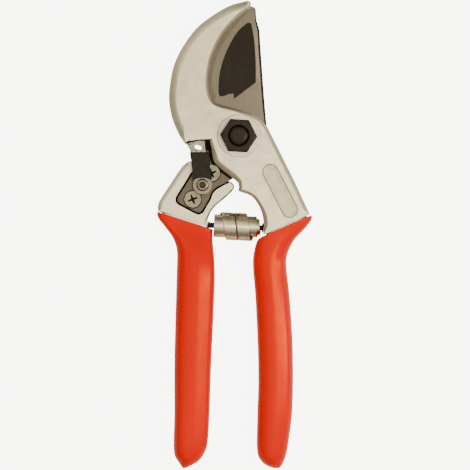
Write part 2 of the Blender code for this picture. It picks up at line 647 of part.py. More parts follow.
def make_pivot_nut():
    corner = NUT_ACROSS_FLATS / 2 / math.cos(math.radians(30))
    hexagon = joined((arc((0, 0), corner, 0, 300, 5), 0.0))
    nut = plate("pivot_nut", hexagon, [(NUT_REAR, 0.0), (NUT_FRONT, 0.0)])
    inward, down = NUT_CROWN
    crown = lathe("crown", [
        (corner + inward, NUT_REAR - OVERCUT), (corner + inward, NUT_FRONT - 2 * down),
        (corner - 2 * inward, NUT_FRONT + down)], (0, 0), 48)
    combine(nut, [crown], "INTERSECT")
    cut(nut, bore((0, 0), BOLT_HOLE, NUT_REAR - OVERCUT, NUT_FRONT + OVERCUT, 40))
    nut.rotation_euler = (0, 0, math.radians(NUT_TURN))
    return nut


def make_nut_washer():
    rim = WASHER_DIAMETER / 2
    front = WASHER_REAR + WASHER_THICKNESS
    washer = lathe("nut_washer", [
        (rim, WASHER_REAR), (rim, front - WASHER_CHAMFER), (rim - WASHER_CHAMFER, front)], (0, 0), 48)
    cut(washer, bore((0, 0), BOLT_HOLE, WASHER_REAR - OVERCUT, front + OVERCUT, 40))
    return washer


def make_latch_lever():
    lever = plate("latch_lever", lever_ring(), [
        (LEVER_REAR, 0.0), (LEVER_FRONT - LEVER_BEVEL, 0.0), (LEVER_FRONT, 1.0)])
    slot = plate("slot", stadium(LEVER_SLOT, LEVER_SLOT_RADIUS), [
        (LEVER_REAR - OVERCUT, 0.0), (LEVER_FRONT + OVERCUT, 0.0)])
    cut(lever, bore(LATCH_PIVOT, LATCH_HOLE, LEVER_REAR - OVERCUT, LEVER_FRONT + OVERCUT), slot)
    return lever


def make_latch_cover():
    cover = plate("latch_cover", cover_ring(), rounded_front(COVER_REAR, COVER_FRONT, COVER_BEVEL))
    room = LATCH_WASHER_REAR + LATCH_WASHER_THICKNESS + GAP
    cut(cover, bore(LATCH_PIVOT, LATCH_WASHER_DIAMETER + 2 * GAP, COVER_REAR - OVERCUT, room, 48))
    return cover


def make_latch_washer():
    rim = LATCH_WASHER_DIAMETER / 2
    front = LATCH_WASHER_REAR + LATCH_WASHER_THICKNESS
    washer = lathe("latch_washer", [(rim, LATCH_WASHER_REAR), (rim, front)], LATCH_PIVOT)
    cut(washer, bore(LATCH_PIVOT, LATCH_HOLE, LATCH_WASHER_REAR - OVERCUT, front + OVERCUT))
    return washer


def make_latch_screw():
    """A domed head with a hexagonal socket, on a shank through the lever into the handle."""
    head = LATCH_HEAD_DIAMETER / 2
    base = LATCH_HEAD_REAR
    top = base + LATCH_HEAD_HEIGHT
    profile = screw_shank(LATCH_SCREW_DIAMETER / 2, base)
    profile += [(head, base)]
    profile += [(head - inward, base + share * LATCH_HEAD_HEIGHT) for inward, share in LATCH_HEAD_DOME]
    screw = lathe("latch_screw", profile, LATCH_PIVOT)
    socket = lathe("socket", [(LATCH_SOCKET_RADIUS, top - LATCH_SOCKET_DEPTH),
                              (LATCH_SOCKET_RADIUS, top + OVERCUT)], LATCH_PIVOT, 6)
    cut(screw, socket)
    return screw


# ---- Spring and its seats -----------------------------------------------------------------------
def along_spring(distance, out, angle):
    """A point at a distance along the spring's axis, out from it at an angle from the top."""
    tilt = math.radians(SPRING_TILT)
    axis = Vector((math.cos(tilt), math.sin(tilt), 0))
    up = Vector((-math.sin(tilt), math.cos(tilt), 0))
    front = Vector((0, 0, 1))
    turn = math.radians(angle)
    return Vector(SPRING_MIDDLE) + axis * distance + (up * math.cos(turn) + front * math.sin(turn)) * out


def strip_path(turns):
    """Radius and place along the axis of the strip's middle, in turns from the spring's middle.

    The turns lie side by side as a barrel, then the strip winds inside itself to both ends,
    stepping out a little at the right.
    """
    side = 1 if turns > 0 else -1
    past = max(0.0, abs(turns) - BARREL_TURNS[side])
    step = min(past, EASE_TURN) / EASE_TURN
    ease = step * step * (3 - 2 * step)
    inner = max(0.0, past - EASE_TURN)
    wound = max(0.0, inner - REST_TURN[side]) / (1 - REST_TURN[side])
    radius = SPRING_RADIUS - COIL_GAIN * (ease + wound)
    place = SPRING_PITCH * (abs(turns) - inner) + STEP_OUT[side] * inner
    return radius, side * place


def make_spring():
    low, high = SPRING_TURNS
    count = round((high - low) * STEPS_A_TURN)
    half = STRIP_WIDTH / 2
    corners = [(-half, -1), (half, -1), (half, 1), (-half, 1)]
    rings = []
    for i in range(count + 1):
        turns = low + (high - low) * i / count
        radius, place = strip_path(turns)
        rings.append([along_spring(place + shift, radius + side * STRIP_THICKNESS / 2, 360 * turns - 180)
                      for shift, side in corners])
    return skin("spring", rings)


def turned_on_spring(name, profile, steps=20):
    """A turned solid about the spring's axis from radius, distance pairs."""
    rings = []
    for radius, distance in profile:
        rings.append([along_spring(distance, radius, 360 * i / steps) for i in range(steps)])
    return skin(name, rings)


def make_spring_seat(name, side):
    """A stud in the spring's end, its collar against the handle and its shank inside."""
    face, collar = SEATS[side]
    stud = STUD_DIAMETER / 2
    inside = face - side * STUD_REACH
    step = face - side * COLLAR_THICKNESS
    return turned_on_spring(name, [
        (stud - STUD_CHAMFER, inside), (stud, inside + side * STUD_CHAMFER), (stud, step),
        (collar, step), (collar, face), (stud, face), (stud, face + side * STUD_REACH)])


def stud_hole(side):
    """The cutter for a spring seat's place in its handle."""
    face, collar = SEATS[side]
    wide = collar + GAP
    reach = STUD_DIAMETER / 2 + GAP
    return turned_on_spring("stud_hole", [
        (wide, face - side * (STUD_REACH + OVERCUT)), (wide, face + side * GAP),
        (reach, face + side * GAP), (reach, face + side * (STUD_REACH + GAP))])


# ---- Assembly -----------------------------------------------------------------------------------
def clear_scene():
    """Start from an empty scene."""
    for thing in list(bpy.data.objects):
        bpy.data.objects.remove(thing)


def shade(solid):
    """Shade the round faces as smooth and keep the hard edges sharp."""
    solid.data.polygons.foreach_set("use_smooth", [True] * len(solid.data.polygons))
    solid.data.set_sharp_from_angle(angle=math.radians(SMOOTH_ANGLE))


def paint(solid, finish_name):
    """Give a solid its own material."""
    colour, roughness, metallic = FINISHES[finish_name]
    material = bpy.data.materials.new(solid.name + "_" + finish_name)
    material.use_nodes = True
    shader = material.node_tree.nodes["Principled BSDF"]
    shader.inputs["Base Color"].default_value = (*colour, 1.0)
    shader.inputs["Roughness"].default_value = roughness
    shader.inputs["Metallic"].default_value = metallic
    material.diffuse_color = (*colour, 1.0)
    solid.data.materials.clear()
    solid.data.materials.append(material)


def hang(pieces, name, spot):
    """An empty on a joint's axis, with the pieces that turn on it."""
    empty = bpy.data.objects.new(name, None)
    bpy.context.scene.collection.objects.link(empty)
    empty.location = Vector(spot) * MM
    for piece in pieces:
        piece.parent = empty
        piece.matrix_parent_inverse = Matrix.Translation(-Vector(spot) * MM)
    return empty


def build():
    clear_scene()
    fixed = [
        (make_hook_body(), "cast_aluminium"),
        (grip("hook_grip", HOOK_GRIP), "orange_vinyl"),
        (make_counter_blade(), "ground_steel"),
        (make_pivot_bolt(), "black_steel"),
        (make_pivot_nut(), "black_steel"),
        (make_nut_washer(), "bright_steel"),
        (make_spring_seat("spring_seat_right", 1), "bright_steel"),
        (make_spring(), "spring_steel"),
    ]
    fixed += [(make_counter_screw(name), "bright_steel") for name in COUNTER_SCREWS]
    swinging = [
        (make_blade(), "ground_steel"),
        (make_blade_handle(), "cast_aluminium"),
        (grip("blade_grip", BLADE_GRIP), "orange_vinyl"),
        (make_latch_screw(), "bright_steel"),
        (make_spring_seat("spring_seat_left", -1), "bright_steel"),
    ]
    swinging += [(make_tang_screw(name), "bright_steel") for name in TANG_SCREWS]
    latching = [
        (make_latch_lever(), "bright_steel"),
        (make_latch_cover(), "black_plastic"),
        (make_latch_washer(), "bright_steel"),
    ]
    for solid, finish_name in fixed + swinging + latching:
        shade(solid)
        paint(solid, finish_name)
    hang([solid for solid, _ in swinging], "pivot_axis", (0, 0, BLADE_REAR))
    hang([solid for solid, _ in latching], "latch_axis", (*LATCH_PIVOT, LEVER_REAR))


build()
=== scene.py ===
"""Looks for the bypass pruning shears: closed, latched and lying on a pale table.

Lengths are in millimetres in the row frame (+Y to the tip, +X to the hook's handle, +Z up);
MM turns them into metres where a mesh is made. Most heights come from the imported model's nodes.
"""

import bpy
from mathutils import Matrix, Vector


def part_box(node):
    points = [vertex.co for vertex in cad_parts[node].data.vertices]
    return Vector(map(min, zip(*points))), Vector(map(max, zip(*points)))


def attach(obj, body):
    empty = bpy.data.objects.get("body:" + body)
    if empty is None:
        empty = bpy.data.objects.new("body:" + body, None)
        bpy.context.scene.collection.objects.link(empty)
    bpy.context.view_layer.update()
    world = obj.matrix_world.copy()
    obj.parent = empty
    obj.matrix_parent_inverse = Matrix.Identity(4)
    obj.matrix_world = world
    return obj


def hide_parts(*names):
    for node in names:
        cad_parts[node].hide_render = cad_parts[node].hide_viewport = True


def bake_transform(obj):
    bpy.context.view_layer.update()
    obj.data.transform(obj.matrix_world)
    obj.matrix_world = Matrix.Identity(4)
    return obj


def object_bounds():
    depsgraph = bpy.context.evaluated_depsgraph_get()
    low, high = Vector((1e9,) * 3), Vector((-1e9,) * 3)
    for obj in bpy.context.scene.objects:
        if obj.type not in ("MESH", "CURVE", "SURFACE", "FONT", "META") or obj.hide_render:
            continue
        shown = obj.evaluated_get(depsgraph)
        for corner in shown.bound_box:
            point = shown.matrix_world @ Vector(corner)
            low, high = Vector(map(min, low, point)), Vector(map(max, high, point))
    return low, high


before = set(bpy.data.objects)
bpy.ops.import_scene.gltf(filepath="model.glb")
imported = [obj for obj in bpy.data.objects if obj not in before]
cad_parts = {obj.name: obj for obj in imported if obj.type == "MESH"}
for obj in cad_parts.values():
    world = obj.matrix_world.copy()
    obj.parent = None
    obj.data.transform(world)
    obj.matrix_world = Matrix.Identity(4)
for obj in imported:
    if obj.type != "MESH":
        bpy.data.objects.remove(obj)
CAD_BOX = [[float(value) for value in corner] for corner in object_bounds()]

import math

import bmesh
import bpy
from mathutils import Matrix, Vector

MM = 0.001
WELD = 0.002
JOIN_DISTANCE = 0.05
MITRE_LIMIT = 0.6
PINCHED_WIDTH = 0.2
PINCH_SLOPE = 0.45
SMOOTH_ANGLE = 32             # degrees
OVERCUT = 1.0


def heights(node):
    """Rear and front of a CAD node."""
    low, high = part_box(node)
    return low[2] / MM, high[2] / MM


def middle(node):
    """Centre of a CAD node in plan."""
    low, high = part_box(node)
    return ((low[0] + high[0]) / 2 / MM, (low[1] + high[1]) / 2 / MM)


# ---- Places and sizes, from the frame ------------
BLADE_REAR, BLADE_FRONT = heights("blade")
HOOK_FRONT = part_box("nut_washer")[0][2] / MM + 0.2
HOOK_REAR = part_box("counter_blade")[0][2] / MM
SHOULDER_REAR = 2.6
HANDLE_REAR = 1.6
HANDLE_FRONT = BLADE_FRONT
LEVER_REAR, LEVER_FRONT = heights("latch_lever")
COVER_REAR, COVER_FRONT = heights("latch_cover")
COUNTER_REAR, COUNTER_FRONT = heights("counter_blade")
NUT_REAR, NUT_FRONT = heights("pivot_nut")
BOLT_REAR, BOLT_TOP = heights("pivot_bolt")
LATCH_WASHER_FRONT = heights("latch_washer")[1]
LATCH_PIVOT = middle("latch_washer")
TANG_SCREWS = {name: middle(name) for name in ("tang_screw_lower", "tang_screw_upper")}

GAP = 0.3
BOLT_DIAMETER = 8.0
BOLT_HOLE = BOLT_DIAMETER + 2 * GAP
BOLT_HEAD_DIAMETER = 19.0
BOLT_HEAD_HEIGHT = BLADE_REAR - GAP
SPOTFACE_RADIUS = 9.6
SPOTFACE_DEPTH = 0.5
WASHER_RADIUS = 9.2
NUT_ACROSS_FLATS = 14.0
NUT_TURN = -3.5
BLADE_HEEL_RADIUS = 12.9
SHOULDER_CLEAR_RADIUS = 15.4
CARTOUCHE = [(13.7, -15.7), (22.1, -32.0)]
CARTOUCHE_RADIUS = 3.6
CARTOUCHE_DEPTH = 0.8
CARTOUCHE_SLOPE = 0.45
RIM_OUTSIDE = CARTOUCHE_RADIUS - 0.85
RIM_INSIDE = CARTOUCHE_RADIUS - 1.6
RIM_SLOPE = 0.2
RIM_BASE = 0.1
RIM_SIDE = 0.3
RIM_TOP = 0.5
NOTCH_CORNER = (-22.9, -3.9)
COLLAR_LEFT = (10.7, -43.1)
COLLAR_RIGHT = (31.0, -34.1)
HOOK_CHAMFER = 1.7
SHOULDER_EDGE = 0.8
SHOULDER_SINK = 1.9
HANDLE_EDGE = 0.8
HANDLE_CHAMFER = 1.1
GROOVE_CENTRE = (0.6, 0.2)
GROOVE_RADII = (11.5, 12.3)
GROOVE_ARC = (-140, -108)
GROOVE_DEPTH = 0.10
GROOVE_SLOPE = 0.36

NOTCH_RADIUS = 19.3
LATCH_REACH = 19.6
LATCH_RELIEF_RADII = (NOTCH_RADIUS - 3.0, 23.9)
LATCH_RELIEF_ARC = (80, 130)
LATCH_RELIEF_FRONT = LEVER_FRONT + 0.4
LATCH_HOLE = 4.8
LATCH_WASHER_RADIUS = 4.2
LATCH_SHANK_RADIUS = 2.1
LATCH_HEAD_RADIUS = 2.7
LATCH_HEAD_BASE = LATCH_WASHER_FRONT + GAP
LATCH_HEAD_FRONT = LATCH_HEAD_BASE + 1.4
LATCH_SOCKET_RADIUS = 1.6
LATCH_SOCKET_FLOOR = LATCH_HEAD_BASE + 0.3
LEVER_SLOT = [(-16.9, -5.2), (-18.3, -4.7)]
LEVER_SLOT_RADIUS = 0.8
LEVER_ROUND = 0.5
COVER_ROUND = 0.8
SHANK_END = HANDLE_REAR + 0.2
SHANK_CHAMFER = 0.4
TANG_HEAD_RADIUS = 3.7
TANG_SCREW_RADIUS = 2.3
TANG_HEAD_DEPTH = 2.0
TANG_HEAD_FRONT = BLADE_FRONT - 0.05
CROSS_TURNS = (22, 112)
CROSS_BAR = [(-2.2, -0.36), (0.0, -0.62), (2.2, -0.36), (2.2, 0.36), (0.0, 0.62), (-2.2, 0.36)]
CROSS_DEPTH = 0.9
CROSS_SLOPE = 0.15
CROSS_FLARE = 0.2

GRIND_WIDTH = 3.6
BACK_WIDTH = 0.3
FRONT_EDGE_WIDTH = 0.25
SPINE_WIDTH = 1.15
SPINE_CHAMFER = 0.7
SPINE_STEP = 0.05
HOLLOW_DEPTH = 0.4
SHADE_DEPTH = 0.02

# Edges of turned pieces: how far in from the radius, and how far down from the front.
BOLT_HEAD_EDGE = [(1.2, 0.0), (0.5, -0.35), (0.0, -1.2)]
BOLT_END_EDGE = [(0.0, 0.7), (0.25, 0.28), (0.75, 0.06), (1.5, 0.0)]
NUT_CROWN_EDGE = [(-0.9, 1.1), (0.75, 0.12), (1.9, -0.02)]
NUT_MOUTH_EDGE = [(0.0, 0.5), (-0.55, -0.05)]
NUT_WASHER_EDGES = [(0.15, 0.0), (0.0, -0.15)], [(0.0, 0.3), (0.1, 0.1), (0.35, 0.0)]
LATCH_WASHER_EDGES = [(0.0, 0.0)], [(0.0, 0.15), (0.15, 0.0)]
LATCH_HEAD_EDGE = [(0.1, 1.4), (0.0, 1.3), (0.0, 0.9), (0.15, 0.45), (0.4, 0.18), (0.85, 0.0)]
TANG_HEAD_EDGE = [(0.15, 0.18), (0.0, 0.06), (0.15, 0.0)]

# Widths of the softened edges.
CAST_SOFTNESS = 0.12
GROUND_SOFTNESS = 0.06
PUNCHED_SOFTNESS = 0.08
SOCKET_SOFTNESS = 0.1
NUT_SOFTNESS = 0.18

TURNED_STEPS = 64
FINE_STEPS = 96

SPRING_MIDDLE = (-2.45, -39.25, 6.3)
SPRING_TILT = -2.8
STRIP_WIDTH = 5.4
STRIP_THICKNESS = 0.7
SPRING_RADIUS = 5.7
SPRING_PITCH = 5.75
COIL_GAIN = 1.0
SPRING_TURNS = (-2.5, 3.2)
BARREL_TURNS = {1: 1.0, -1: 0.74}
STEP_OUT = {1: 1.2, -1: 0.0}
EASE_TURN = 0.25
REST_TURN = {1: 0.0, -1: 0.45}
STEPS_A_TURN = 72

GRIP_WALL = 1.9
GRIP_POINTS = 64
GRIP_STEPS = 8                # a station
GRIP_LIP = [(-0.14, 0.6), (-0.10, 0.25), (-0.02, 0.06), (0.1, 0.0)]   # place, depth
CORE_STATIONS = 10
CORE_INSET = GRIP_WALL + GAP
CORE_POINTS = 32
HOOK_CORE_LEAD = (-1.2, 2.6)
BLADE_CORE_LEAD = (1.0, 2.8)

# Stations of the grips: two side points, the middle's height, half the height, squareness.
BLADE_GRIP = [
    (-35.6, -33.1, -11.2, -40.8, 5.2, 5.0, 5.0),
    (-34.9, -35.8, -11.3, -42.3, 5.4, 5.2, 4.2),
    (-31.9, -39.7, -11.3, -44.8, 5.9, 5.8, 3.4),
    (-28.6, -44.4, -11.0, -48.2, 6.8, 6.7, 2.8),
    (-26.9, -50.0, -10.6, -52.5, 7.5, 7.5, 2.8),
    (-27.0, -60.0, -10.3, -61.0, 7.8, 7.8, 2.9),
    (-27.5, -78.0, -10.9, -78.0, 7.8, 7.8, 2.9),
    (-28.0, -100.0, -11.9, -100.0, 7.8, 7.8, 2.9),
    (-28.0, -120.0, -12.6, -120.0, 7.8, 7.8, 2.9),
    (-28.3, -133.0, -13.4, -133.0, 7.8, 7.6, 2.9),
    (-27.9, -138.6, -15.2, -138.4, 7.8, 6.8, 2.5),
    (-26.2, -141.7, -17.6, -141.4, 7.8, 5.2, 2.1),
    (-24.9, -143.6, -20.4, -143.1, 7.8, 3.2, 2.0),
    (-24.2, -144.4, -22.6, -144.2, 7.8, 1.2, 2.0),
]
HOOK_GRIP = [
    (10.0, -43.8, 31.9, -34.5, 8.5, 7.1, 5.0),
    (8.4, -44.9, 31.6, -36.6, 8.4, 7.1, 4.2),
    (7.5, -46.8, 28.2, -40.9, 8.2, 7.2, 3.4),
    (6.8, -49.3, 23.9, -45.6, 8.0, 7.4, 2.9),
    (6.2, -53.0, 21.0, -52.2, 7.8, 7.7, 2.5),
    (6.2, -58.0, 20.9, -58.0, 7.8, 7.8, 2.3),
    (7.2, -70.0, 22.2, -70.0, 7.8, 7.8, 2.3),
    (8.1, -88.0, 23.4, -88.0, 7.8, 7.8, 2.3),
    (8.5, -105.0, 23.7, -105.0, 7.8, 7.8, 2.3),
    (8.1, -120.0, 23.3, -120.0, 7.8, 7.8, 2.3),
    (7.8, -133.0, 21.7, -133.0, 7.8, 7.5, 2.3),
    (8.4, -138.9, 20.7, -138.5, 7.8, 6.8, 2.2),
    (10.6, -142.1, 19.5, -141.6, 7.8, 5.2, 2.1),
    (13.2, -143.7, 18.6, -143.3, 7.8, 3.3, 2.0),
    (15.4, -144.4, 17.8, -144.3, 7.8, 1.3, 2.0),
]


# ---- Light and camera, in metres -----------------
WARM = (1.0, 0.90, 0.66)
SKY = [(0.0, 0.14), (0.60, 0.18), (0.88, 0.60), (1.0, 1.0)]   # height of the direction, brightness
SKY_STRENGTH = 1.55
BACKDROP_WHITE = (1.0, 1.0, 0.96)
BACKDROP_STRENGTH = 7.0
FLOOR_SIZE = 6.0
FLOOR_HEIGHT = -0.0005
LIGHT_TARGET = (0.0, -0.05, 0.0)
LIGHTS = {                    # place, width, length, watts
    "strip": ((0.70, -0.06, 0.82), 0.08, 1.6, 11.0),
    "fill": ((-0.6, 0.5, 0.9), 0.8, 0.8, 2.0),
}
SENSOR_WIDTH = 36.0           # millimetres
LENS = 500.0                  # millimetres
VIEW_WIDTH = 0.20408
VIEW_CENTRE = (-0.0016, -0.0430, 0.010)


# ---- Curves --------------------------------------
def catmull(a, b, c, d, t):
    return 0.5 * (2 * b + (c - a) * t + (2 * a - 5 * b + 4 * c - d) * t ** 2
                  + (3 * b - a - 3 * c + d) * t ** 3)


def along(points, place):
    """A smooth run's values at a place, counted in points from its start."""
    first = tuple(2 * a - b for a, b in zip(points[0], points[1]))
    last = tuple(2 * a - b for a, b in zip(points[-1], points[-2]))
    keys = [first] + list(points) + [last]
    index = min(int(place), len(points) - 2)
    return tuple(catmull(*values, place - index) for values in zip(*keys[index:index + 4]))


def spline(points, per=6):
    """A smooth run through the points, per steps a span."""
    return [along(points, i / per) for i in range((len(points) - 1) * per + 1)]


def arc(centre, radius, start, end, steps):
    run = []
    for i in range(steps + 1):
        angle = math.radians(start + (end - start) * i / steps)
        run.append((centre[0] + radius * math.cos(angle), centre[1] + radius * math.sin(angle)))
    return run


def bearing(centre, point):
    return math.degrees(math.atan2(point[1] - centre[1], point[0] - centre[0]))


def area(ring):
    following = ring[1:] + ring[:1]
    return 0.5 * sum(a[0] * b[1] - b[0] * a[1] for a, b in zip(ring, following))


def joined(*runs):
    """One closed ring of x, y, edge width from runs of points, each with its edge width."""
    ring = []
    for points, width in runs:
        for x, y in points:
            if not ring or math.dist(ring[-1][:2], (x, y)) > JOIN_DISTANCE:
                ring.append((x, y, width))
    if math.dist(ring[-1][:2], ring[0][:2]) < JOIN_DISTANCE:
        ring.pop()
    if area(ring) < 0:
        ring.reverse()
    return ring


def stadium(ends, radius, width=0.0):
    """A ring with round ends about two points."""
    first, second = ends
    slope = bearing(second, first) - 90
    return joined((arc(first, radius, slope, slope + 180, 24), width),
                  (arc(second, radius, slope + 180, slope + 360, 24), width))


def eased(ring, rounds=6):
    """The same ring with its edge widths blended from one run to the next."""
    for _ in range(rounds):
        sides = zip(ring[-1:] + ring[:-1], ring, ring[1:] + ring[:1])
        ring = [(b[0], b[1], 0.25 * a[2] + 0.5 * b[2] + 0.25 * c[2]) for a, b, c in sides]
    return ring


def pinched(ring, *corners):
    """The same ring with its edge widths narrowed towards sharp corners."""
    ends = []
    for x, y, width in ring:
        reach = min(math.dist((x, y), corner) for corner in corners)
        ends.append((x, y, min(width, PINCHED_WIDTH + PINCH_SLOPE * reach)))
    return ends


def inset(ring, share):
    """The ring moved inwards by a share of each point's edge width."""
    moved = []
    for a, b, c in zip(ring[-1:] + ring[:-1], ring, ring[1:] + ring[:1]):
        back = Vector((b[0] - a[0], b[1] - a[1])).normalized()
        ahead = Vector((c[0] - b[0], c[1] - b[1])).normalized()
        inward = Vector((-back.y - ahead.y, back.x + ahead.x)).normalized()
        stretch = 1.0 / max(MITRE_LIMIT, inward.dot(Vector((-ahead.y, ahead.x))))
        step = inward * b[2] * share * stretch
        moved.append((b[0] + step.x, b[1] + step.y))
    return moved


# ---- Solids --------------------------------------
def finish(mesh, name):
    """Weld a mesh, turn its faces outwards and make it an object."""
    bmesh.ops.remove_doubles(mesh, verts=mesh.verts, dist=WELD * MM)
    bmesh.ops.recalc_face_normals(mesh, faces=mesh.faces)
    if mesh.calc_volume(signed=True) < 0:
        bmesh.ops.reverse_faces(mesh, faces=mesh.faces)
    data = bpy.data.meshes.new(name)
    mesh.to_mesh(data)
    mesh.free()
    solid = bpy.data.objects.new(name, data)
    bpy.context.scene.collection.objects.link(solid)
    return solid


def skin(name, rings):
    """A closed solid through rings of equal count, capped at both ends."""
    mesh = bmesh.new()
    rows = [[mesh.verts.new(Vector(point) * MM) for point in ring] for ring in rings]
    for low, high in zip(rows, rows[1:]):
        for i in range(len(low)):
            j = (i + 1) % len(low)
            mesh.faces.new((low[i], low[j], high[j], high[i]))
    mesh.faces.new(rows[0])
    mesh.faces.new(rows[-1])
    return finish(mesh, name)


def plate(name, ring, levels):
    """An outline raised through levels: height, and how far its edge widths step it in."""
    return skin(name, [[(x, y, z) for x, y in inset(ring, share)] for z, share in levels])


def chamfered(rear, front, depth, share=1.0):
    """Levels up to a front edge whose chamfer is rounded at both its ends."""
    steps = [(1.0, 0.0), (0.88, 0.03), (0.78, 0.10), (0.36, 0.50), (0.23, 0.63), (0.13, 0.76),
             (0.055, 0.88), (0.012, 0.96), (0.0, 1.0)]
    return [(rear, 0.0)] + [(front - depth * down, share * across) for down, across in steps]


def rounded(rear, front, depth, steps=5):
    """Levels up to a front edge that is fully rounded."""
    levels = [(rear, 0.0)]
    for i in range(steps + 1):
        angle = math.pi / 2 * i / steps
        levels.append((front - depth * (1 - math.sin(angle)), 1 - math.cos(angle)))
    return levels


def lathe(name, profile, centre, steps=TURNED_STEPS):
    """A turned solid about a vertical axis from radius, height pairs."""
    rings = []
    for radius, z in profile:
        rings.append([(x, y, z) for x, y in arc(centre, radius, 0, 360, steps)[:-1]])
    return skin(name, rings)


def turned_edge(radius, front, edge):
    """Radius, height pairs of a turned piece's edge."""
    return [(radius - across, front - down) for across, down in edge]


def collapse(solid):
    """Apply a solid's modifiers to its mesh."""
    seen = solid.evaluated_get(bpy.context.evaluated_depsgraph_get())
    old = solid.data
    solid.data = bpy.data.meshes.new_from_object(seen)
    solid.modifiers.clear()
    bpy.data.meshes.remove(old)


def combine(solid, tools, operation):
    """Add or cut the tools, which are used up."""
    for tool in tools:
        step = solid.modifiers.new(operation.lower(), "BOOLEAN")
        step.operation = operation
        step.solver = "EXACT"
        step.object = tool
        collapse(solid)
        bpy.data.objects.remove(tool)


def cut(solid, *tools):
    combine(solid, tools, "DIFFERENCE")


def add(solid, *tools):
    combine(solid, tools, "UNION")


def bore(centre, diameter, low, high, steps=48):
    return lathe("bore", [(diameter / 2, low), (diameter / 2, high)], centre, steps)


def soften(solid, width, angle=50, segments=2):
    """Round the edges that meet at more than the angle, then shade what is round as smooth."""
    if width:
        step = solid.modifiers.new("edges", "BEVEL")
        step.width = width * MM
        step.segments = segments
        step.limit_method = "ANGLE"
        step.angle_limit = math.radians(angle)
        step.use_clamp_overlap = True
        collapse(solid)
    solid.data.polygons.foreach_set("use_smooth", [True] * len(solid.data.polygons))
    solid.data.set_sharp_from_angle(angle=math.radians(SMOOTH_ANGLE))
    step = solid.modifiers.new("flats", "WEIGHTED_NORMAL")
    step.weight = 100
    step.keep_sharp = True
    collapse(solid)
    return solid


# ---- Outlines ------------------------------------
def hook_throat():
    return spline([
        (5.4, 55.8), (2.0, 53.3), (-2.7, 49.1), (-6.9, 43.8), (-10.1, 38.0), (-12.2, 32.7),
        (-13.2, 27.5), (-13.4, 22.8), (-12.7, 18.5), (-11.2, 15.4), (-9.0, 13.8), (-4.3, 12.5),
        (1.5, 10.9), (6.2, 9.1), (8.9, 7.5), (12.2, 4.3),
    ], 4)


def shoulder_edge():
    return spline([
        (-0.1, -24.0), (5.0, -25.9), (7.9, -28.9), (9.9, -33.0), (10.8, -37.8), COLLAR_LEFT,
    ], 4)


def hook_ring():
    outer = spline([
        NOTCH_CORNER, (-25.1, -0.9), (-27.7, 4.3), (-29.5, 10.0), (-30.3, 16.2), (-29.8, 22.6),
        (-28.2, 30.4), (-24.6, 38.2), (-19.0, 46.0), (-12.9, 51.2), (-4.2, 56.4), (2.9, 58.45),
    ], 6)
    tip = arc((3.7, 57.0), 1.7, 100, -25, 10)
    right = spline([(12.2, 4.3), (13.6, 1.7), (16.2, -3.5), (24.0, -19.1), (28.8, -29.5),
                    COLLAR_RIGHT], 4)
    fillet = shoulder_edge()[-4:-9:-1]
    stop = [(-0.1, -24.0), (0.1, -22.0)]
    lower_left = spline([(-0.3, -20.3), (-3.3, -17.7), (-8.0, -14.1), (-10.3, -11.9),
                         (-11.3, -9.6), (-11.8, -6.0)], 4)
    notch_right = bearing(LATCH_PIVOT, (-12.6, -2.4))
    notch_left = bearing(LATCH_PIVOT, (-22.9, -3.4))
    notch = arc(LATCH_PIVOT, NOTCH_RADIUS, notch_right, notch_left, 16)[:-1]
    return pinched(eased(joined(
        (outer, 3.3), (tip, 0.7), (hook_throat()[1:], 1.3), (right[1:], 1.9),
        ([COLLAR_LEFT], 0.5), (fillet, 2.2), (shoulder_edge()[-9:0:-1], 1.4), (stop, 0.9),
        (lower_left, 2.3), (notch, 0.5),
    )), COLLAR_LEFT, COLLAR_RIGHT, NOTCH_CORNER)


def shoulder_ring():
    top = arc((0, 0), SHOULDER_CLEAR_RADIUS, -80, -12, 24)
    right = [(16.9, -5.4), (23.8, -19.2), (28.6, -29.6), (30.6, -34.1)]
    left = [(10.5, -43.0)] + shoulder_edge()[::-1][2:-4] + [(0.5, -23.9), (0.6, -19.6)]
    left = [(x + 0.25, y) for x, y in left]
    return eased(joined((top, 0.3), (right, 0.6), (left, 0.6)), 2)


def blade_ring(edge_width, back_width):
    edge = spline([
        (4.4, 56.7), (0.6, 54.9), (-4.4, 50.5), (-8.8, 45.0), (-12.1, 38.9), (-14.3, 33.3),
        (-15.4, 27.7), (-15.6, 22.4), (-15.0, 17.4),
    ], 6)
    left = spline([(-15.0, 17.4), (-14.4, 8.0), (-14.4, 1.0), (-15.2, -5.0), (-17.3, -11.4)], 4)
    tang = [(-20.45, -16.9)]
    tang += spline([(-26.5, -26.6), (-26.6, -28.2), (-25.6, -29.3)], 5)
    tang += spline([(-18.6, -33.0), (-17.2, -33.35), (-15.9, -32.6)], 5)
    tang += spline([(-12.7, -27.1), (-12.05, -25.2), (-9.95, -22.6), (-3.8, -19.25),
                    (-0.4, -16.6), (2.3, -12.7)], 5)
    heel = arc((0, 0), BLADE_HEEL_RADIUS, -78, 19, 32)
    back = [(12.2, 4.3), (11.6, 11.0), (10.9, 19.6), (9.6, 38.0), (9.1, 46.0)]
    tip = [(8.0, 49.6), (7.75, 51.5), (7.4, 55.2), (6.8, 56.0)]
    return eased(joined((edge, edge_width), (left, 0.3), (tang, 0.1), (heel, 0.1),
                        (back, back_width), (tip, back_width / 2)), 3)


def hollow_ring():
    left = spline([(-8.3, 17.3), (-8.8, 19.5), (-8.4, 26.4), (-6.8, 32.9), (-4.2, 39.2),
                   (-0.6, 45.2), (3.2, 48.8)], 6)
    top = arc((4.3, 48.0), 1.3, 120, 20, 6)
    right = spline([(5.6, 48.2), (6.6, 42.5), (7.2, 35.0), (7.4, 29.0), (7.4, 23.3)], 6)
    foot = [(-2.0, 16.2), (-2.2, 18.4), (-4.2, 18.3), (-6.8, 17.2)]
    return joined((left, 0.0), (top, 0.0), (right, 0.0), (foot, 0.0))


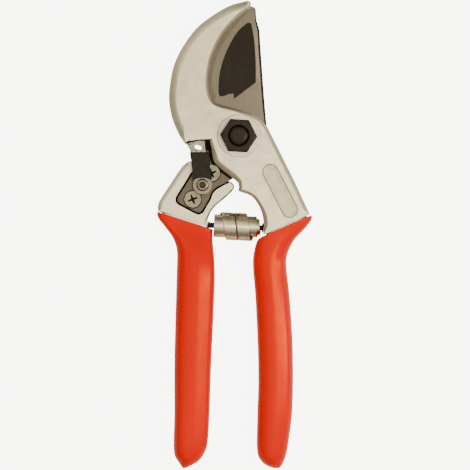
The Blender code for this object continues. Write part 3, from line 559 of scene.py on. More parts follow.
def counter_ring(grow=0.0):
    edge = spline([
        (4.6, 55.0), (-1.2, 48.4), (-5.3, 43.0), (-8.4, 37.2), (-10.4, 32.0), (-11.4, 27.3),
        (-11.7, 22.8), (-11.1, 19.2), (-9.9, 16.8),
    ], 6)
    back = spline([
        (-11.6, 14.2), (-16.0, 12.6), (-20.6, 14.6), (-22.0, 20.0), (-21.2, 28.0),
        (-18.4, 36.0), (-12.6, 44.6), (-5.0, 51.4), (2.8, 56.0),
    ], 4)
    return joined((edge, -grow), (back, -grow))


def handle_ring():
    outer = spline([(-22.4, -11.3), (-25.1, -13.9), (-30.3, -21.7), (-33.7, -26.9),
                    (-35.0, -29.6), (-35.2, -32.7)], 4)[:-1]
    collar = [(-35.0, -32.8), (-14.4, -38.9)]
    inner = spline([(-14.2, -38.4), (-12.9, -34.7), (-11.4, -31.9), (-8.9, -29.4),
                    (-5.9, -26.9), (-2.7, -24.0)], 4)
    finger = arc((-4.0, -22.0), 2.1, -50, 80, 12)
    top = spline([(-4.2, -19.6), (-6.4, -16.6), (-10.5, -12.4), (-15.6, -10.2), (-22.2, -11.2)], 4)
    return eased(joined((outer, 1.9), (collar, 0.1), (inner, 0.9), (finger, 0.6), (top, 0.1)), 1)


def recess_ring():
    top = [(4.0, -4.5), (-13.6, -4.5)]
    corner = spline([(-27.3, -26.4), (-27.4, -28.5), (-26.2, -29.9)], 5)
    foot = spline([(-18.9, -33.75), (-17.2, -34.2), (-15.4, -33.3)], 5)
    right = spline([(-11.9, -27.3), (-11.35, -25.6), (-9.45, -23.2), (-3.4, -19.95)], 5)
    return joined((top, 0.0), (corner, 0.0), (foot, 0.0), (right, 0.0), ([(4.0, -16.0)], 0.0))


def lever_ring():
    tip_left = bearing(LATCH_PIVOT, (-22.4, -3.6))
    tip_right = bearing(LATCH_PIVOT, (-14.4, -2.7))
    tip = arc(LATCH_PIVOT, LATCH_REACH, tip_right, tip_left, 12)
    left = spline([(-22.2, -4.4), (-21.0, -6.6), (-20.2, -12.0), (-19.9, -19.3)], 3)
    eye = arc(LATCH_PIVOT, 4.3, 160, 395, 32)
    right = [(-12.6, -17.0), (-12.4, -10.0), (-12.8, -7.4), (-14.2, -6.4), (-14.4, -3.4)]
    return joined((tip, 0.4), (left, 0.4), (eye, 0.4), (right, 0.4))


def cover_ring():
    foot = spline([(-12.1, -19.2), (-13.4, -18.55), (-15.8, -18.15), (-18.0, -18.5),
                   (-19.7, -19.5)], 6)
    left = [(-20.5, -12.0)]
    top = [(-21.3, -7.1), (-13.6, -7.0)]
    right = [(-12.9, -7.8), (-12.6, -13.2), (-11.8, -15.4), (-11.7, -18.6)]
    return eased(joined((foot, 0.2), (left, 0.5), (top, 0.6), (right, 0.5)), 1)


# ---- Lofts ---------------------------------------
def section(station, depth, count=GRIP_POINTS):
    """A grip's cross-section at a station, drawn in by depth."""
    ax, ay, bx, by, middle_z, half, square = station
    span = Vector((bx - ax, by - ay))
    centre = Vector((ax + bx, ay + by)) / 2
    reach = span.length / 2 - depth
    rise = half - depth
    points = []
    for i in range(count):
        angle = 2 * math.pi * (i + 0.5) / count
        across = math.copysign(abs(math.cos(angle)) ** (2 / square), math.cos(angle))
        up = math.copysign(abs(math.sin(angle)) ** (2 / square), math.sin(angle))
        spot = centre + span.normalized() * reach * across
        points.append((spot.x, spot.y, middle_z + rise * up))
    return points


def make_grip(name, stations):
    """A dipped sleeve with a rounded lip at its collar and a closed foot."""
    outside = [section(along(stations, place), depth) for place, depth in GRIP_LIP]
    steps = GRIP_STEPS * (len(stations) - 1)
    outside += [section(along(stations, i / GRIP_STEPS), 0.0) for i in range(2, steps + 1)]
    reach = CORE_STATIONS - 1
    inside = [section(along(stations, reach - i / 2), GRIP_WALL) for i in range(2 * reach + 1)]
    return soften(skin(name, inside + outside), 0)


def core(stations, lead):
    """The metal under a grip, from a little way into the handle's plate."""
    steps = 2 * (CORE_STATIONS - 1)
    reach = [along(stations, i / 2) for i in range(steps)]
    first = reach[0]
    start = (first[0] + lead[0], first[1] + lead[1], first[2] + lead[0], first[3] + lead[1])
    rings = [section(start + first[4:], CORE_INSET, CORE_POINTS)]
    rings += [section(station, CORE_INSET, CORE_POINTS) for station in reach]
    return skin("core", rings)


# ---- Spring --------------------------------------
def along_spring(distance, out, angle):
    """A point at a distance along the spring's axis, out from it at an angle from the top."""
    tilt = math.radians(SPRING_TILT)
    axis = Vector((math.cos(tilt), math.sin(tilt), 0))
    up = Vector((-math.sin(tilt), math.cos(tilt), 0))
    turn = math.radians(angle)
    return (Vector(SPRING_MIDDLE) + axis * distance
            + (up * math.cos(turn) + Vector((0, 0, 1)) * math.sin(turn)) * out)


def strip_path(turns):
    """Radius and place along the axis of the strip's middle, in turns from the spring's middle."""
    side = 1 if turns > 0 else -1
    past = max(0.0, abs(turns) - BARREL_TURNS[side])
    step = min(past, EASE_TURN) / EASE_TURN
    ease = step * step * (3 - 2 * step)
    inner = max(0.0, past - EASE_TURN)
    wound = max(0.0, inner - REST_TURN[side]) / (1 - REST_TURN[side])
    radius = SPRING_RADIUS - COIL_GAIN * (ease + wound)
    place = SPRING_PITCH * (abs(turns) - inner) + STEP_OUT[side] * inner
    return radius, side * place


def strip_section():
    """The strip's section with rounded edges: along the axis, out."""
    half = STRIP_WIDTH / 2
    thick = STRIP_THICKNESS / 2
    return arc((half - thick, 0), thick, -90, 90, 6) + arc((-half + thick, 0), thick, 90, 270, 6)


def make_spring():
    low, high = SPRING_TURNS
    count = round((high - low) * STEPS_A_TURN)
    rings = []
    for i in range(count + 1):
        turns = low + (high - low) * i / count
        radius, place = strip_path(turns)
        rings.append([along_spring(place + shift, radius + out, 360 * turns - 180)
                      for shift, out in strip_section()])
    return soften(skin("spring_strip", rings), 0)


# ---- Pieces --------------------------------------
def faint_groove():
    """The cutter of a shallow curved line beside the spotface."""
    inner, outer = GROOVE_RADII
    start, end = GROOVE_ARC
    ring = joined((arc(GROOVE_CENTRE, outer, start, end, 12), GROOVE_SLOPE),
                  (arc(GROOVE_CENTRE, inner, end, start, 12), GROOVE_SLOPE))
    return plate("groove", ring, [
        (HOOK_FRONT - GROOVE_DEPTH, 1.0), (HOOK_FRONT + GROOVE_DEPTH, -1.0)])


def make_hook():
    body = plate("hook", hook_ring(), chamfered(HOOK_REAR, HOOK_FRONT, HOOK_CHAMFER))
    cartouche = plate("cartouche", stadium(CARTOUCHE, CARTOUCHE_RADIUS, CARTOUCHE_SLOPE), [
        (HOOK_FRONT - CARTOUCHE_DEPTH, 1.0), (HOOK_FRONT + CARTOUCHE_DEPTH, -1.0)])
    inner, outer = LATCH_RELIEF_RADII
    start, end = LATCH_RELIEF_ARC
    relief = joined((arc(LATCH_PIVOT, outer, start, end, 12), 0.0),
                    (arc(LATCH_PIVOT, inner, end, start, 12), 0.0))
    seat = [(HOOK_REAR - OVERCUT, 1.0), (COUNTER_FRONT + GAP, 1.0)]
    cut(body,
        bore((0, 0), BOLT_HOLE, HOOK_REAR - OVERCUT, HOOK_FRONT + OVERCUT),
        bore((0, 0), 2 * SPOTFACE_RADIUS, HOOK_FRONT - SPOTFACE_DEPTH, HOOK_FRONT + OVERCUT,
             FINE_STEPS),
        cartouche, faint_groove(),
        plate("relief", relief, [(HOOK_REAR - OVERCUT, 0.0), (LATCH_RELIEF_FRONT, 0.0)]),
        plate("seat", eased(counter_ring(GAP)), seat))
    shoulder = plate("shoulder", shoulder_ring(), [
        (SHOULDER_REAR, 1.0), (SHOULDER_REAR + SHOULDER_EDGE, 0.0),
        (HOOK_FRONT - SHOULDER_SINK, 0.0)])
    add(shoulder, core(HOOK_GRIP, HOOK_CORE_LEAD))
    add(body, shoulder)
    return soften(body, CAST_SOFTNESS)


def make_cartouche_rim():
    """A raised plain rim on the cartouche's floor."""
    floor = HOOK_FRONT - CARTOUCHE_DEPTH
    rim = plate("cartouche_rim", stadium(CARTOUCHE, RIM_OUTSIDE, RIM_SLOPE), [
        (floor - RIM_BASE, 0.0), (floor + RIM_SIDE, 0.0), (floor + RIM_TOP, 1.0)])
    cut(rim, plate("inside", stadium(CARTOUCHE, RIM_INSIDE, RIM_SLOPE), [
        (floor - OVERCUT, 0.0), (floor + RIM_BASE, 0.0), (floor + RIM_TOP, -1.0),
        (floor + OVERCUT, -1.0)]))
    return soften(rim, 0)


def make_blade():
    behind = blade_ring(GRIND_WIDTH, BACK_WIDTH)
    ahead = blade_ring(FRONT_EDGE_WIDTH, SPINE_WIDTH)
    spine = BLADE_FRONT - SPINE_CHAMFER
    levels = [(behind, 1.0, BLADE_REAR), (behind, 0.0, spine),
              (ahead, 0.0, spine + SPINE_STEP), (ahead, 1.0, BLADE_FRONT)]
    blade = skin("blade_plate", [
        [(x, y, z) for x, y in inset(ring, share)] for ring, share, z in levels])
    hollow = plate("hollow", hollow_ring(), [
        (BLADE_FRONT - HOLLOW_DEPTH, 0.0), (BLADE_FRONT + OVERCUT, 0.0)])
    holes = [bore((0, 0), BOLT_HOLE, BLADE_REAR - OVERCUT, BLADE_FRONT + OVERCUT),
             bore(LATCH_PIVOT, LATCH_HOLE, BLADE_REAR - OVERCUT, BLADE_FRONT + OVERCUT)]
    shank = TANG_SCREW_RADIUS + GAP
    slope = (TANG_HEAD_RADIUS - TANG_SCREW_RADIUS) / TANG_HEAD_DEPTH
    for spot in TANG_SCREWS.values():
        holes.append(lathe("countersink", [
            (shank, BLADE_REAR - OVERCUT), (shank, BLADE_FRONT - TANG_HEAD_DEPTH),
            (TANG_HEAD_RADIUS + GAP + slope * GAP, BLADE_FRONT + GAP)], spot))
    cut(blade, hollow, hook_shadow_step(), *holes)
    return soften(blade, GROUND_SOFTNESS)


def hook_shadow_step():
    """The cutter of a hair-deep step beside the hook's edge, whose floor is painted as the hook's
    shadow.
    """
    by_hook = spline([(-0.6, -20.9), (-4.0, -18.5), (-8.9, -15.0), (-11.3, -12.7), (-12.5, -9.8),
                      (-13.3, -6.5), (-15.6, -5.5), (-15.6, -1.0)], 4)
    under_hook = [(-9.0, -1.0), (-8.0, -10.0), (2.0, -17.0)]
    return plate("hook_shadow_cutter", joined((by_hook, 0.0), (under_hook, 0.0)), [
        (BLADE_FRONT - SHADE_DEPTH, 0.0), (BLADE_FRONT + OVERCUT, 0.0)])


def make_counter():
    piece = plate("counter_plate", counter_ring(), [(COUNTER_REAR, 0.0), (COUNTER_FRONT, 0.0)])
    return soften(piece, PUNCHED_SOFTNESS)


def make_handle():
    body = plate("handle", handle_ring(), [(HANDLE_REAR, 1.0), (HANDLE_REAR + HANDLE_EDGE, 0.0)]
                 + chamfered(HANDLE_REAR + 2 * HANDLE_EDGE, HANDLE_FRONT, HANDLE_CHAMFER))
    add(body, core(BLADE_GRIP, BLADE_CORE_LEAD))
    low = HANDLE_REAR - OVERCUT
    holes = [bore(LATCH_PIVOT, LATCH_HOLE, low, HANDLE_FRONT)]
    for spot in TANG_SCREWS.values():
        holes.append(bore(spot, 2 * (TANG_SCREW_RADIUS + GAP), low, HANDLE_FRONT, 32))
    recess = plate("recess", recess_ring(), [
        (BLADE_REAR - GAP, 0.0), (HANDLE_FRONT + OVERCUT, 0.0)])
    cut(body, recess, *holes)
    return soften(body, CAST_SOFTNESS)


def make_nut():
    corner = NUT_ACROSS_FLATS / 2 / math.cos(math.radians(30))
    hexagon = joined((arc((0, 0), corner, 0, 300, 5), 0.0))
    nut = plate("nut", hexagon, [(NUT_REAR, 0.0), (NUT_FRONT, 0.0)])
    edge = turned_edge(corner, NUT_FRONT, NUT_CROWN_EDGE)
    crown = lathe("crown", [(edge[0][0], NUT_REAR - OVERCUT)] + edge, (0, 0), FINE_STEPS)
    combine(nut, [crown], "INTERSECT")
    hole = BOLT_HOLE / 2
    cut(nut, lathe("mouth", [(hole, NUT_REAR - OVERCUT)]
                   + turned_edge(hole, NUT_FRONT, NUT_MOUTH_EDGE), (0, 0)))
    nut.data.transform(Matrix.Rotation(math.radians(NUT_TURN), 4, "Z"))
    return soften(nut, NUT_SOFTNESS, 25, 3)


def make_bolt():
    head = BOLT_HEAD_DIAMETER / 2
    shank = BOLT_DIAMETER / 2
    profile = turned_edge(head, BOLT_REAR, BOLT_HEAD_EDGE)
    profile += [(head, BOLT_HEAD_HEIGHT), (shank, BOLT_HEAD_HEIGHT)]
    profile += turned_edge(shank, BOLT_TOP, BOLT_END_EDGE)
    return soften(lathe("bolt", profile, (0, 0), FINE_STEPS), 0)


def make_washer(name, node, centre, radius, hole, edges, steps=TURNED_STEPS):
    """A turned washer at a CAD node's heights, with its rear and front edges."""
    rear, front = heights(node)
    profile = turned_edge(radius, rear, edges[0]) + turned_edge(radius, front, edges[1])
    washer = lathe(name, profile, centre, steps)
    cut(washer, bore(centre, hole, rear - OVERCUT, front + OVERCUT))
    return soften(washer, 0)


def make_lever():
    low, high = LEVER_REAR - OVERCUT, LEVER_FRONT + OVERCUT
    lever = plate("lever", lever_ring(), rounded(LEVER_REAR, LEVER_FRONT, LEVER_ROUND))
    slot = plate("slot", stadium(LEVER_SLOT, LEVER_SLOT_RADIUS), [(low, 0.0), (high, 0.0)])
    cut(lever, bore(LATCH_PIVOT, LATCH_HOLE, low, high), slot)
    return soften(lever, PUNCHED_SOFTNESS)


def make_cover():
    cover = plate("cover", cover_ring(), rounded(COVER_REAR, COVER_FRONT, COVER_ROUND))
    cut(cover, bore(LATCH_PIVOT, 2 * (LATCH_WASHER_RADIUS + GAP), COVER_REAR - OVERCUT,
                    LATCH_WASHER_FRONT + GAP, TURNED_STEPS))
    return soften(cover, 0)


def shank_profile(radius, top):
    """A screw's shank from its chamfered end up to its head."""
    return [(radius - SHANK_CHAMFER, SHANK_END), (radius, SHANK_END + SHANK_CHAMFER), (radius, top)]


def make_latch_screw():
    profile = shank_profile(LATCH_SHANK_RADIUS, LATCH_HEAD_BASE)
    profile += turned_edge(LATCH_HEAD_RADIUS, LATCH_HEAD_FRONT, LATCH_HEAD_EDGE)
    screw = lathe("latch_bolt", profile, LATCH_PIVOT)
    cut(screw, lathe("socket", [
        (LATCH_SOCKET_RADIUS, LATCH_SOCKET_FLOOR),
        (LATCH_SOCKET_RADIUS, LATCH_HEAD_FRONT + OVERCUT)], LATCH_PIVOT, 6))
    return soften(screw, SOCKET_SOFTNESS)


def make_tang_screw(name, spot):
    top = TANG_HEAD_FRONT
    profile = shank_profile(TANG_SCREW_RADIUS, top - TANG_HEAD_DEPTH)
    profile += turned_edge(TANG_HEAD_RADIUS, top, TANG_HEAD_EDGE)
    screw = lathe(name + "_head", profile, spot)
    bars = []
    for turn in CROSS_TURNS:
        spin = Matrix.Rotation(math.radians(turn), 2)
        ring = []
        for across, up in CROSS_BAR:
            corner = Vector(spot) + spin @ Vector((across, up))
            ring.append((corner.x, corner.y, CROSS_SLOPE))
        bars.append(plate("bar", ring, [(top - CROSS_DEPTH, 1.0), (top + OVERCUT, -CROSS_FLARE)]))
    cut(screw, *bars)
    return soften(screw, GROUND_SOFTNESS)


# ---- Materials -----------------------------------
TANG_DULL = (0.045, 0.04, 0.036)
CAST_PAINTED_LIGHT_SPAN = (-6.0, 14.0)   # painted light: lighter metal on the shoulder and handle, blending to the hook's tone above
TANG_TONE_CHANGE = (-12.0, 0.0)   # from the dull tang to the ground blade


class Look:
    """A Principled material whose surface detail is built up from noise."""

    def __init__(self, name, roughness, metallic=0.0, specular=None):
        self.material = bpy.data.materials.new(name)
        self.material.use_nodes = True
        self.tree = self.material.node_tree
        self.shader = self.tree.nodes["Principled BSDF"]
        self.shader.inputs["Metallic"].default_value = metallic
        self.shader.inputs["Roughness"].default_value = roughness
        if specular is not None:
            self.shader.inputs["Specular IOR Level"].default_value = specular
        self.normal = None

    def node(self, kind):
        return self.tree.nodes.new("ShaderNode" + kind)

    def link(self, output, socket):
        self.tree.links.new(output, socket)

    def noise(self, size, stretch=(1, 1, 1), turn=0.0, detail=4.0, seed=0.0):
        """Noise whose grains are about size millimetres, stretched along its own axes."""
        place = self.node("TexCoord")
        mapping = self.node("Mapping")
        mapping.inputs["Rotation"].default_value = (0, 0, math.radians(turn))
        mapping.inputs["Scale"].default_value = stretch
        mapping.inputs["Location"].default_value = (seed, seed, seed)
        texture = self.node("TexNoise")
        texture.inputs["Scale"].default_value = 1.0 / (size * MM)
        texture.inputs["Detail"].default_value = detail
        self.link(place.outputs["Object"], mapping.inputs["Vector"])
        self.link(mapping.outputs["Vector"], texture.inputs["Vector"])
        return texture.outputs["Fac"]

    def along_y(self):
        """The place along the shears, in metres."""
        place = self.node("TexCoord")
        split = self.node("SeparateXYZ")
        self.link(place.outputs["Object"], split.inputs["Vector"])
        return split.outputs["Y"]

    def spread(self, source, low, high, start=0.3, end=0.7):
        """The source from start to end, mapped onto low to high."""
        node = self.node("MapRange")
        limits = {"From Min": start, "From Max": end, "To Min": low, "To Max": high}
        for socket, value in limits.items():
            node.inputs[socket].default_value = value
        self.link(source, node.inputs["Value"])
        return node.outputs["Result"]

    def mix(self, factor, first, second):
        """A colour between two, each a tuple or another node's output."""
        node = self.node("Mix")
        node.data_type = "RGBA"
        for socket, value in ((node.inputs[6], first), (node.inputs[7], second)):
            if isinstance(value, tuple):
                socket.default_value = (*value, 1.0)
            else:
                self.link(value, socket)
        self.link(factor, node.inputs["Factor"])
        return node.outputs[2]

    def tones(self, source, first, second, most=1.0, start=0.3, end=0.7):
        """A colour that goes from the first towards the second where the source is high."""
        return self.mix(self.spread(source, 0.0, most, start, end), first, second)

    def colour(self, output):
        self.link(output, self.shader.inputs["Base Color"])

    def roughness(self, output):
        self.link(output, self.shader.inputs["Roughness"])

    def bump(self, source, depth, strength=1.0):
        """Raise the surface by up to depth millimetres where the source is high."""
        node = self.node("Bump")
        node.inputs["Distance"].default_value = depth * MM
        node.inputs["Strength"].default_value = strength
        self.link(source, node.inputs["Height"])
        if self.normal:
            self.link(self.normal, node.inputs["Normal"])
        self.normal = node.outputs["Normal"]
        self.link(self.normal, self.shader.inputs["Normal"])


def aluminium(name="aluminium_look", low=(0.64, 0.59, 0.47), high=(0.83, 0.78, 0.64)):
    """Tumbled cast aluminium: fine grain, faint clouds and tiny dark pits, with painted light that
    makes it lighter towards the shoulder and handle.
    """
    look = Look(name, 0.45, 1.0)
    clouds = look.noise(14.0, detail=3.0)
    grain = look.noise(0.55, detail=5.0)
    pits = look.noise(0.9, detail=2.0, seed=3.0)
    base = look.tones(clouds, low, high, 0.6)
    # painted light: the metal turns lighter towards the shoulder and handle
    start, end = (value * MM for value in CAST_PAINTED_LIGHT_SPAN)
    base = look.mix(look.spread(look.along_y(), 0.9, 0.0, start, end), base, high)
    base = look.tones(grain, base, (0.50, 0.46, 0.39), 0.25)
    base = look.tones(pits, base, (0.30, 0.27, 0.23), 0.5, 0.68, 0.76)
    look.colour(base)
    look.roughness(look.spread(look.noise(3.0, seed=1.0), 0.38, 0.52))
    look.bump(grain, 0.025, 0.5)
    look.bump(look.noise(5.0, seed=2.0), 0.05, 0.35)
    return look.material


def ground_steel(name, light, dark, turn, tang_share=0.0, roughness=(0.30, 0.42)):
    """Ground steel with fine scratches along one direction, duller towards the tang."""
    look = Look(name, 0.35, 1.0)
    lines = look.noise(0.35, (1.0, 0.03, 1.0), turn, 3.0)
    clouds = look.noise(9.0)
    base = look.tones(lines, dark, light)
    base = look.tones(clouds, base, dark, 0.25)
    if tang_share:
        start, end = (value * MM for value in TANG_TONE_CHANGE)
        tang = look.spread(look.along_y(), tang_share, 0.0, start, end)
        base = look.mix(tang, base, TANG_DULL)
    look.colour(base)
    look.roughness(look.spread(lines, *roughness))
    look.bump(lines, 0.012, 0.6)
    return look.material


def coating():
    """The blade's low-friction black coating, slightly brown and finely speckled."""
    look = Look("coating_look", 0.5, specular=0.12)
    grain = look.noise(0.4, detail=5.0)
    rubbed = look.noise(6.0, (1.0, 0.3, 1.0), -20.0)
    base = look.tones(grain, (0.0175, 0.0143, 0.0125), (0.026, 0.0212, 0.0187))
    base = look.tones(rubbed, base, (0.040, 0.033, 0.028), 0.5, 0.55, 0.8)
    look.colour(base)
    look.roughness(look.spread(grain, 0.42, 0.6))
    look.bump(grain, 0.01, 0.5)
    return look.material


def black_oxide():
    """Blackened steel with handling wear."""
    look = Look("black_oxide_look", 0.4, 0.2, 0.14)
    grain = look.noise(0.5, detail=5.0)
    worn = look.noise(2.5, detail=6.0, seed=4.0)
    base = look.tones(grain, (0.015, 0.0118, 0.0105), (0.027, 0.0215, 0.0185))
    base = look.tones(worn, base, (0.055, 0.047, 0.040), 0.6, 0.6, 0.75)
    look.colour(base)
    look.roughness(look.spread(worn, 0.26, 0.44))
    look.bump(grain, 0.012, 0.5)
    return look.material


def bright_steel():
    """Plated steel fasteners with faint turning marks and tarnish."""
    look = Look("bright_steel_look", 0.3, 1.0)
    marks = look.noise(0.3, (1.0, 0.1, 1.0), 25.0)
    tarnish = look.noise(2.2, detail=5.0, seed=5.0)
    base = look.tones(marks, (0.17, 0.15, 0.125), (0.25, 0.225, 0.19))
    base = look.tones(tarnish, base, (0.14, 0.12, 0.10), 0.55, 0.5, 0.8)
    look.colour(base)
    look.roughness(look.spread(tarnish, 0.24, 0.42))
    look.bump(marks, 0.01, 0.5)
    return look.material


def polished_steel():
    """The latch lever: polished, with a few scratches and dark smears."""
    look = Look("polished_look", 0.16, 1.0)
    marks = look.noise(0.5, (1.0, 0.15, 1.0), -30.0)
    smears = look.noise(2.4, detail=3.0, seed=12.0)
    base = look.tones(marks, (0.24, 0.22, 0.185), (0.42, 0.385, 0.32))
    look.colour(look.tones(smears, base, (0.035, 0.03, 0.025), 0.8, 0.48, 0.6))
    look.roughness(look.spread(smears, 0.12, 0.24))
    look.bump(smears, 0.08, 0.6)
    return look.material


def speckled(look, size, seed, first, second, roughness, depth, start=0.3, end=0.7):
    """A look that one fine noise drives: its colour, its roughness and its relief."""
    grain = look.noise(size, seed=seed)
    look.colour(look.tones(grain, first, second, 1.0, start, end))
    look.roughness(look.spread(grain, *roughness))
    look.bump(grain, depth, 0.5)
    return look.material


def washer_steel():
    """A dull plated washer, nearly the casting's colour."""
    return speckled(Look("washer_look", 0.42, 1.0), 0.4, 11.0,
                    (0.62, 0.58, 0.50), (0.72, 0.68, 0.59), (0.36, 0.48), 0.012)


def painted_shade():
    """Painted shade: near-black colour in gaps, screw recesses and under the lever, where shadow
    falls.
    """
    return speckled(Look("oiled_dark_look", 0.6, specular=0.1), 0.7, 10.0,
                    (0.006, 0.005, 0.004), (0.020, 0.016, 0.012), (0.45, 0.75), 0.02)


def rust_brown():
    """The tarnished floor and walls of the latch screw's socket."""
    return speckled(Look("rust_brown_look", 0.55, specular=0.2), 0.8, 13.0,
                    (0.035, 0.022, 0.014), (0.11, 0.072, 0.045), (0.45, 0.7), 0.03, 0.35, 0.6)


def spring_steel():
    """Rolled spring strip, polished, with marks along its length and a warm tinge."""
    look = Look("spring_steel_look", 0.24, 1.0)
    rolled = look.noise(0.4, (1.0, 0.06, 0.06), 0.0, 3.0)
    stain = look.noise(3.0, detail=4.0, seed=6.0)
    base = look.tones(rolled, (0.66, 0.60, 0.49), (0.80, 0.74, 0.62))
    base = look.tones(stain, base, (0.42, 0.34, 0.24), 0.3, 0.5, 0.75)
    look.colour(base)
    look.roughness(look.spread(stain, 0.17, 0.32))
    look.bump(rolled, 0.003, 0.4)
    return look.material


def black_plastic():
    """Moulded black plastic with a fine texture."""
    look = Look("black_plastic_look", 0.45, specular=0.2)
    grain = look.noise(0.35, detail=3.0)
    base = look.tones(grain, (0.008, 0.0072, 0.0066), (0.014, 0.0125, 0.0115))
    look.colour(base)
    look.roughness(look.spread(look.noise(2.0), 0.36, 0.55))
    look.bump(grain, 0.02, 0.5)
    return look.material


def orange_vinyl():
    """Dipped vinyl: soft gloss, slight waviness, small scuffs and colour drift."""
    look = Look("orange_vinyl_look", 0.3, specular=0.5)
    look.shader.inputs["Specular Tint"].default_value = (1.0, 0.20, 0.03, 1.0)
    drift = look.noise(30.0, detail=2.0)
    fine = look.noise(0.6, detail=4.0)
    scuffs = look.noise(1.2, (1.0, 0.25, 1.0), 15.0, 5.0, 7.0)
    base = look.tones(drift, (0.80, 0.004, 0.0), (0.87, 0.010, 0.001))
    base = look.tones(scuffs, base, (0.95, 0.05, 0.02), 0.25, 0.66, 0.8)
    look.colour(base)
    look.roughness(look.spread(look.noise(5.0, seed=8.0), 0.17, 0.22))
    look.bump(fine, 0.012, 0.35)
    look.bump(look.noise(9.0, (1.0, 0.5, 1.0), seed=9.0), 0.10, 0.25)
    return look.material


# ---- Putting it together -------------------------
SKIN_DEPTH = 0.02             # how far from a surface its own faces may lie
CARTOUCHE_MARGIN = 0.5
CARTOUCHE_REACH = 1.0         # below the hook's front
NOTCH_MARGIN = 0.6
NOTCH_LEFT, NOTCH_RIGHT, NOTCH_LOW = -23.5, -12.0, -8.0
WALL_TILT = 0.98              # upward part of the normal of faces that aren't flat
FLAT_TILT = 0.9
SPINE_TILT = 0.3              # rightward part of the normal
SPINE_LEFT = 6.0
COATING_LOW = 3.0
RECESS_MARGIN = 0.1
RECESS_SHADE_FRONT = HANDLE_FRONT - 0.15
SOCKET_DIRT = (LATCH_HEAD_BASE, LATCH_HEAD_BASE + 1.3, LATCH_SOCKET_RADIUS - 0.01)
CROSS_SHADE = (BLADE_FRONT - 1.5, BLADE_FRONT - 0.2, 2.5)   # heights and radius


def keep_inside(piece):
    """Bring points that a smooth run carried past the CAD model's box back onto it."""
    low, high = CAD_BOX
    for vertex in piece.data.vertices:
        vertex.co = [min(max(value, a), b) for value, a, b in zip(vertex.co, low, high)]


def place(piece, body, node, slot, *materials):
    """Set a piece on a body in place of a CAD node, with its materials. The slot is not used."""
    keep_inside(piece)
    piece.data.materials.clear()
    for material in materials:
        piece.data.materials.append(material)
    if body:
        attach(piece, body)
    if node:
        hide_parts(node)
    return piece


def faces(piece):
    """The faces of a piece, each with its middle in millimetres."""
    return [(face, [value / MM for value in face.center]) for face in piece.data.polygons]


def paint_hook(hook):
    """Painted shade: a darker metal in the cartouche, and near-black on the notch's wall and edge.
    """
    in_cartouche = within(stadium(CARTOUCHE, CARTOUCHE_RADIUS), CARTOUCHE_MARGIN)
    for face, (x, y, z) in faces(hook):
        by_notch = math.dist((x, y), LATCH_PIVOT) < NOTCH_RADIUS + NOTCH_MARGIN
        beside = NOTCH_LEFT < x < NOTCH_RIGHT and y > NOTCH_LOW
        # painted shade: the cartouche's floor and walls get the darker copy of the aluminium
        if HOOK_FRONT - CARTOUCHE_REACH < z < HOOK_FRONT - SKIN_DEPTH and in_cartouche(x, y):
            face.material_index = 1
        # painted shadow: near-black on the notch's wall and edge around the lever's tip
        elif by_notch and beside and face.normal.z < WALL_TILT:
            face.material_index = 2


def paint_blade(blade):
    """The coating on the hollow's floor and along the spine, painted shadow on the step by the
    hook.
    """
    for face, (x, y, z) in faces(blade):
        depth = BLADE_FRONT - z
        in_hollow = abs(depth - HOLLOW_DEPTH) < SKIN_DEPTH and face.normal.z > FLAT_TILT
        on_spine = face.normal.x > SPINE_TILT and x > SPINE_LEFT
        if y > COATING_LOW and (in_hollow or on_spine):
            face.material_index = 1
        # painted shadow: the step's floor beside the hook gets the near-black shade
        elif y < 0 and abs(depth - SHADE_DEPTH) < SHADE_DEPTH / 4:
            face.material_index = 2


def tarnish_and_shade_between(piece, low, high, inside):
    """The second material on faces whose middle is between two heights and inside an outline:
    painted shade in the handle's recess and the screws' crosses, tarnish in the latch screw's
    socket.
    """
    for face, (x, y, z) in faces(piece):
        if low < z < high and inside(x, y):
            face.material_index = 1


def near(spot, radius):
    return lambda x, y: math.dist((x, y), spot) < radius


def within(ring, grow):
    """Whether a point lies in a ring that is grown a little."""
    edge = inset([(x, y, 1.0) for x, y, _ in ring], -grow)

    def test(x, y):
        crossings = 0
        for (ax, ay), (bx, by) in zip(edge, edge[1:] + edge[:1]):
            if (ay > y) != (by > y) and x < ax + (bx - ax) * (y - ay) / (by - ay):
                crossings += 1
        return crossings % 2 == 1
    return test


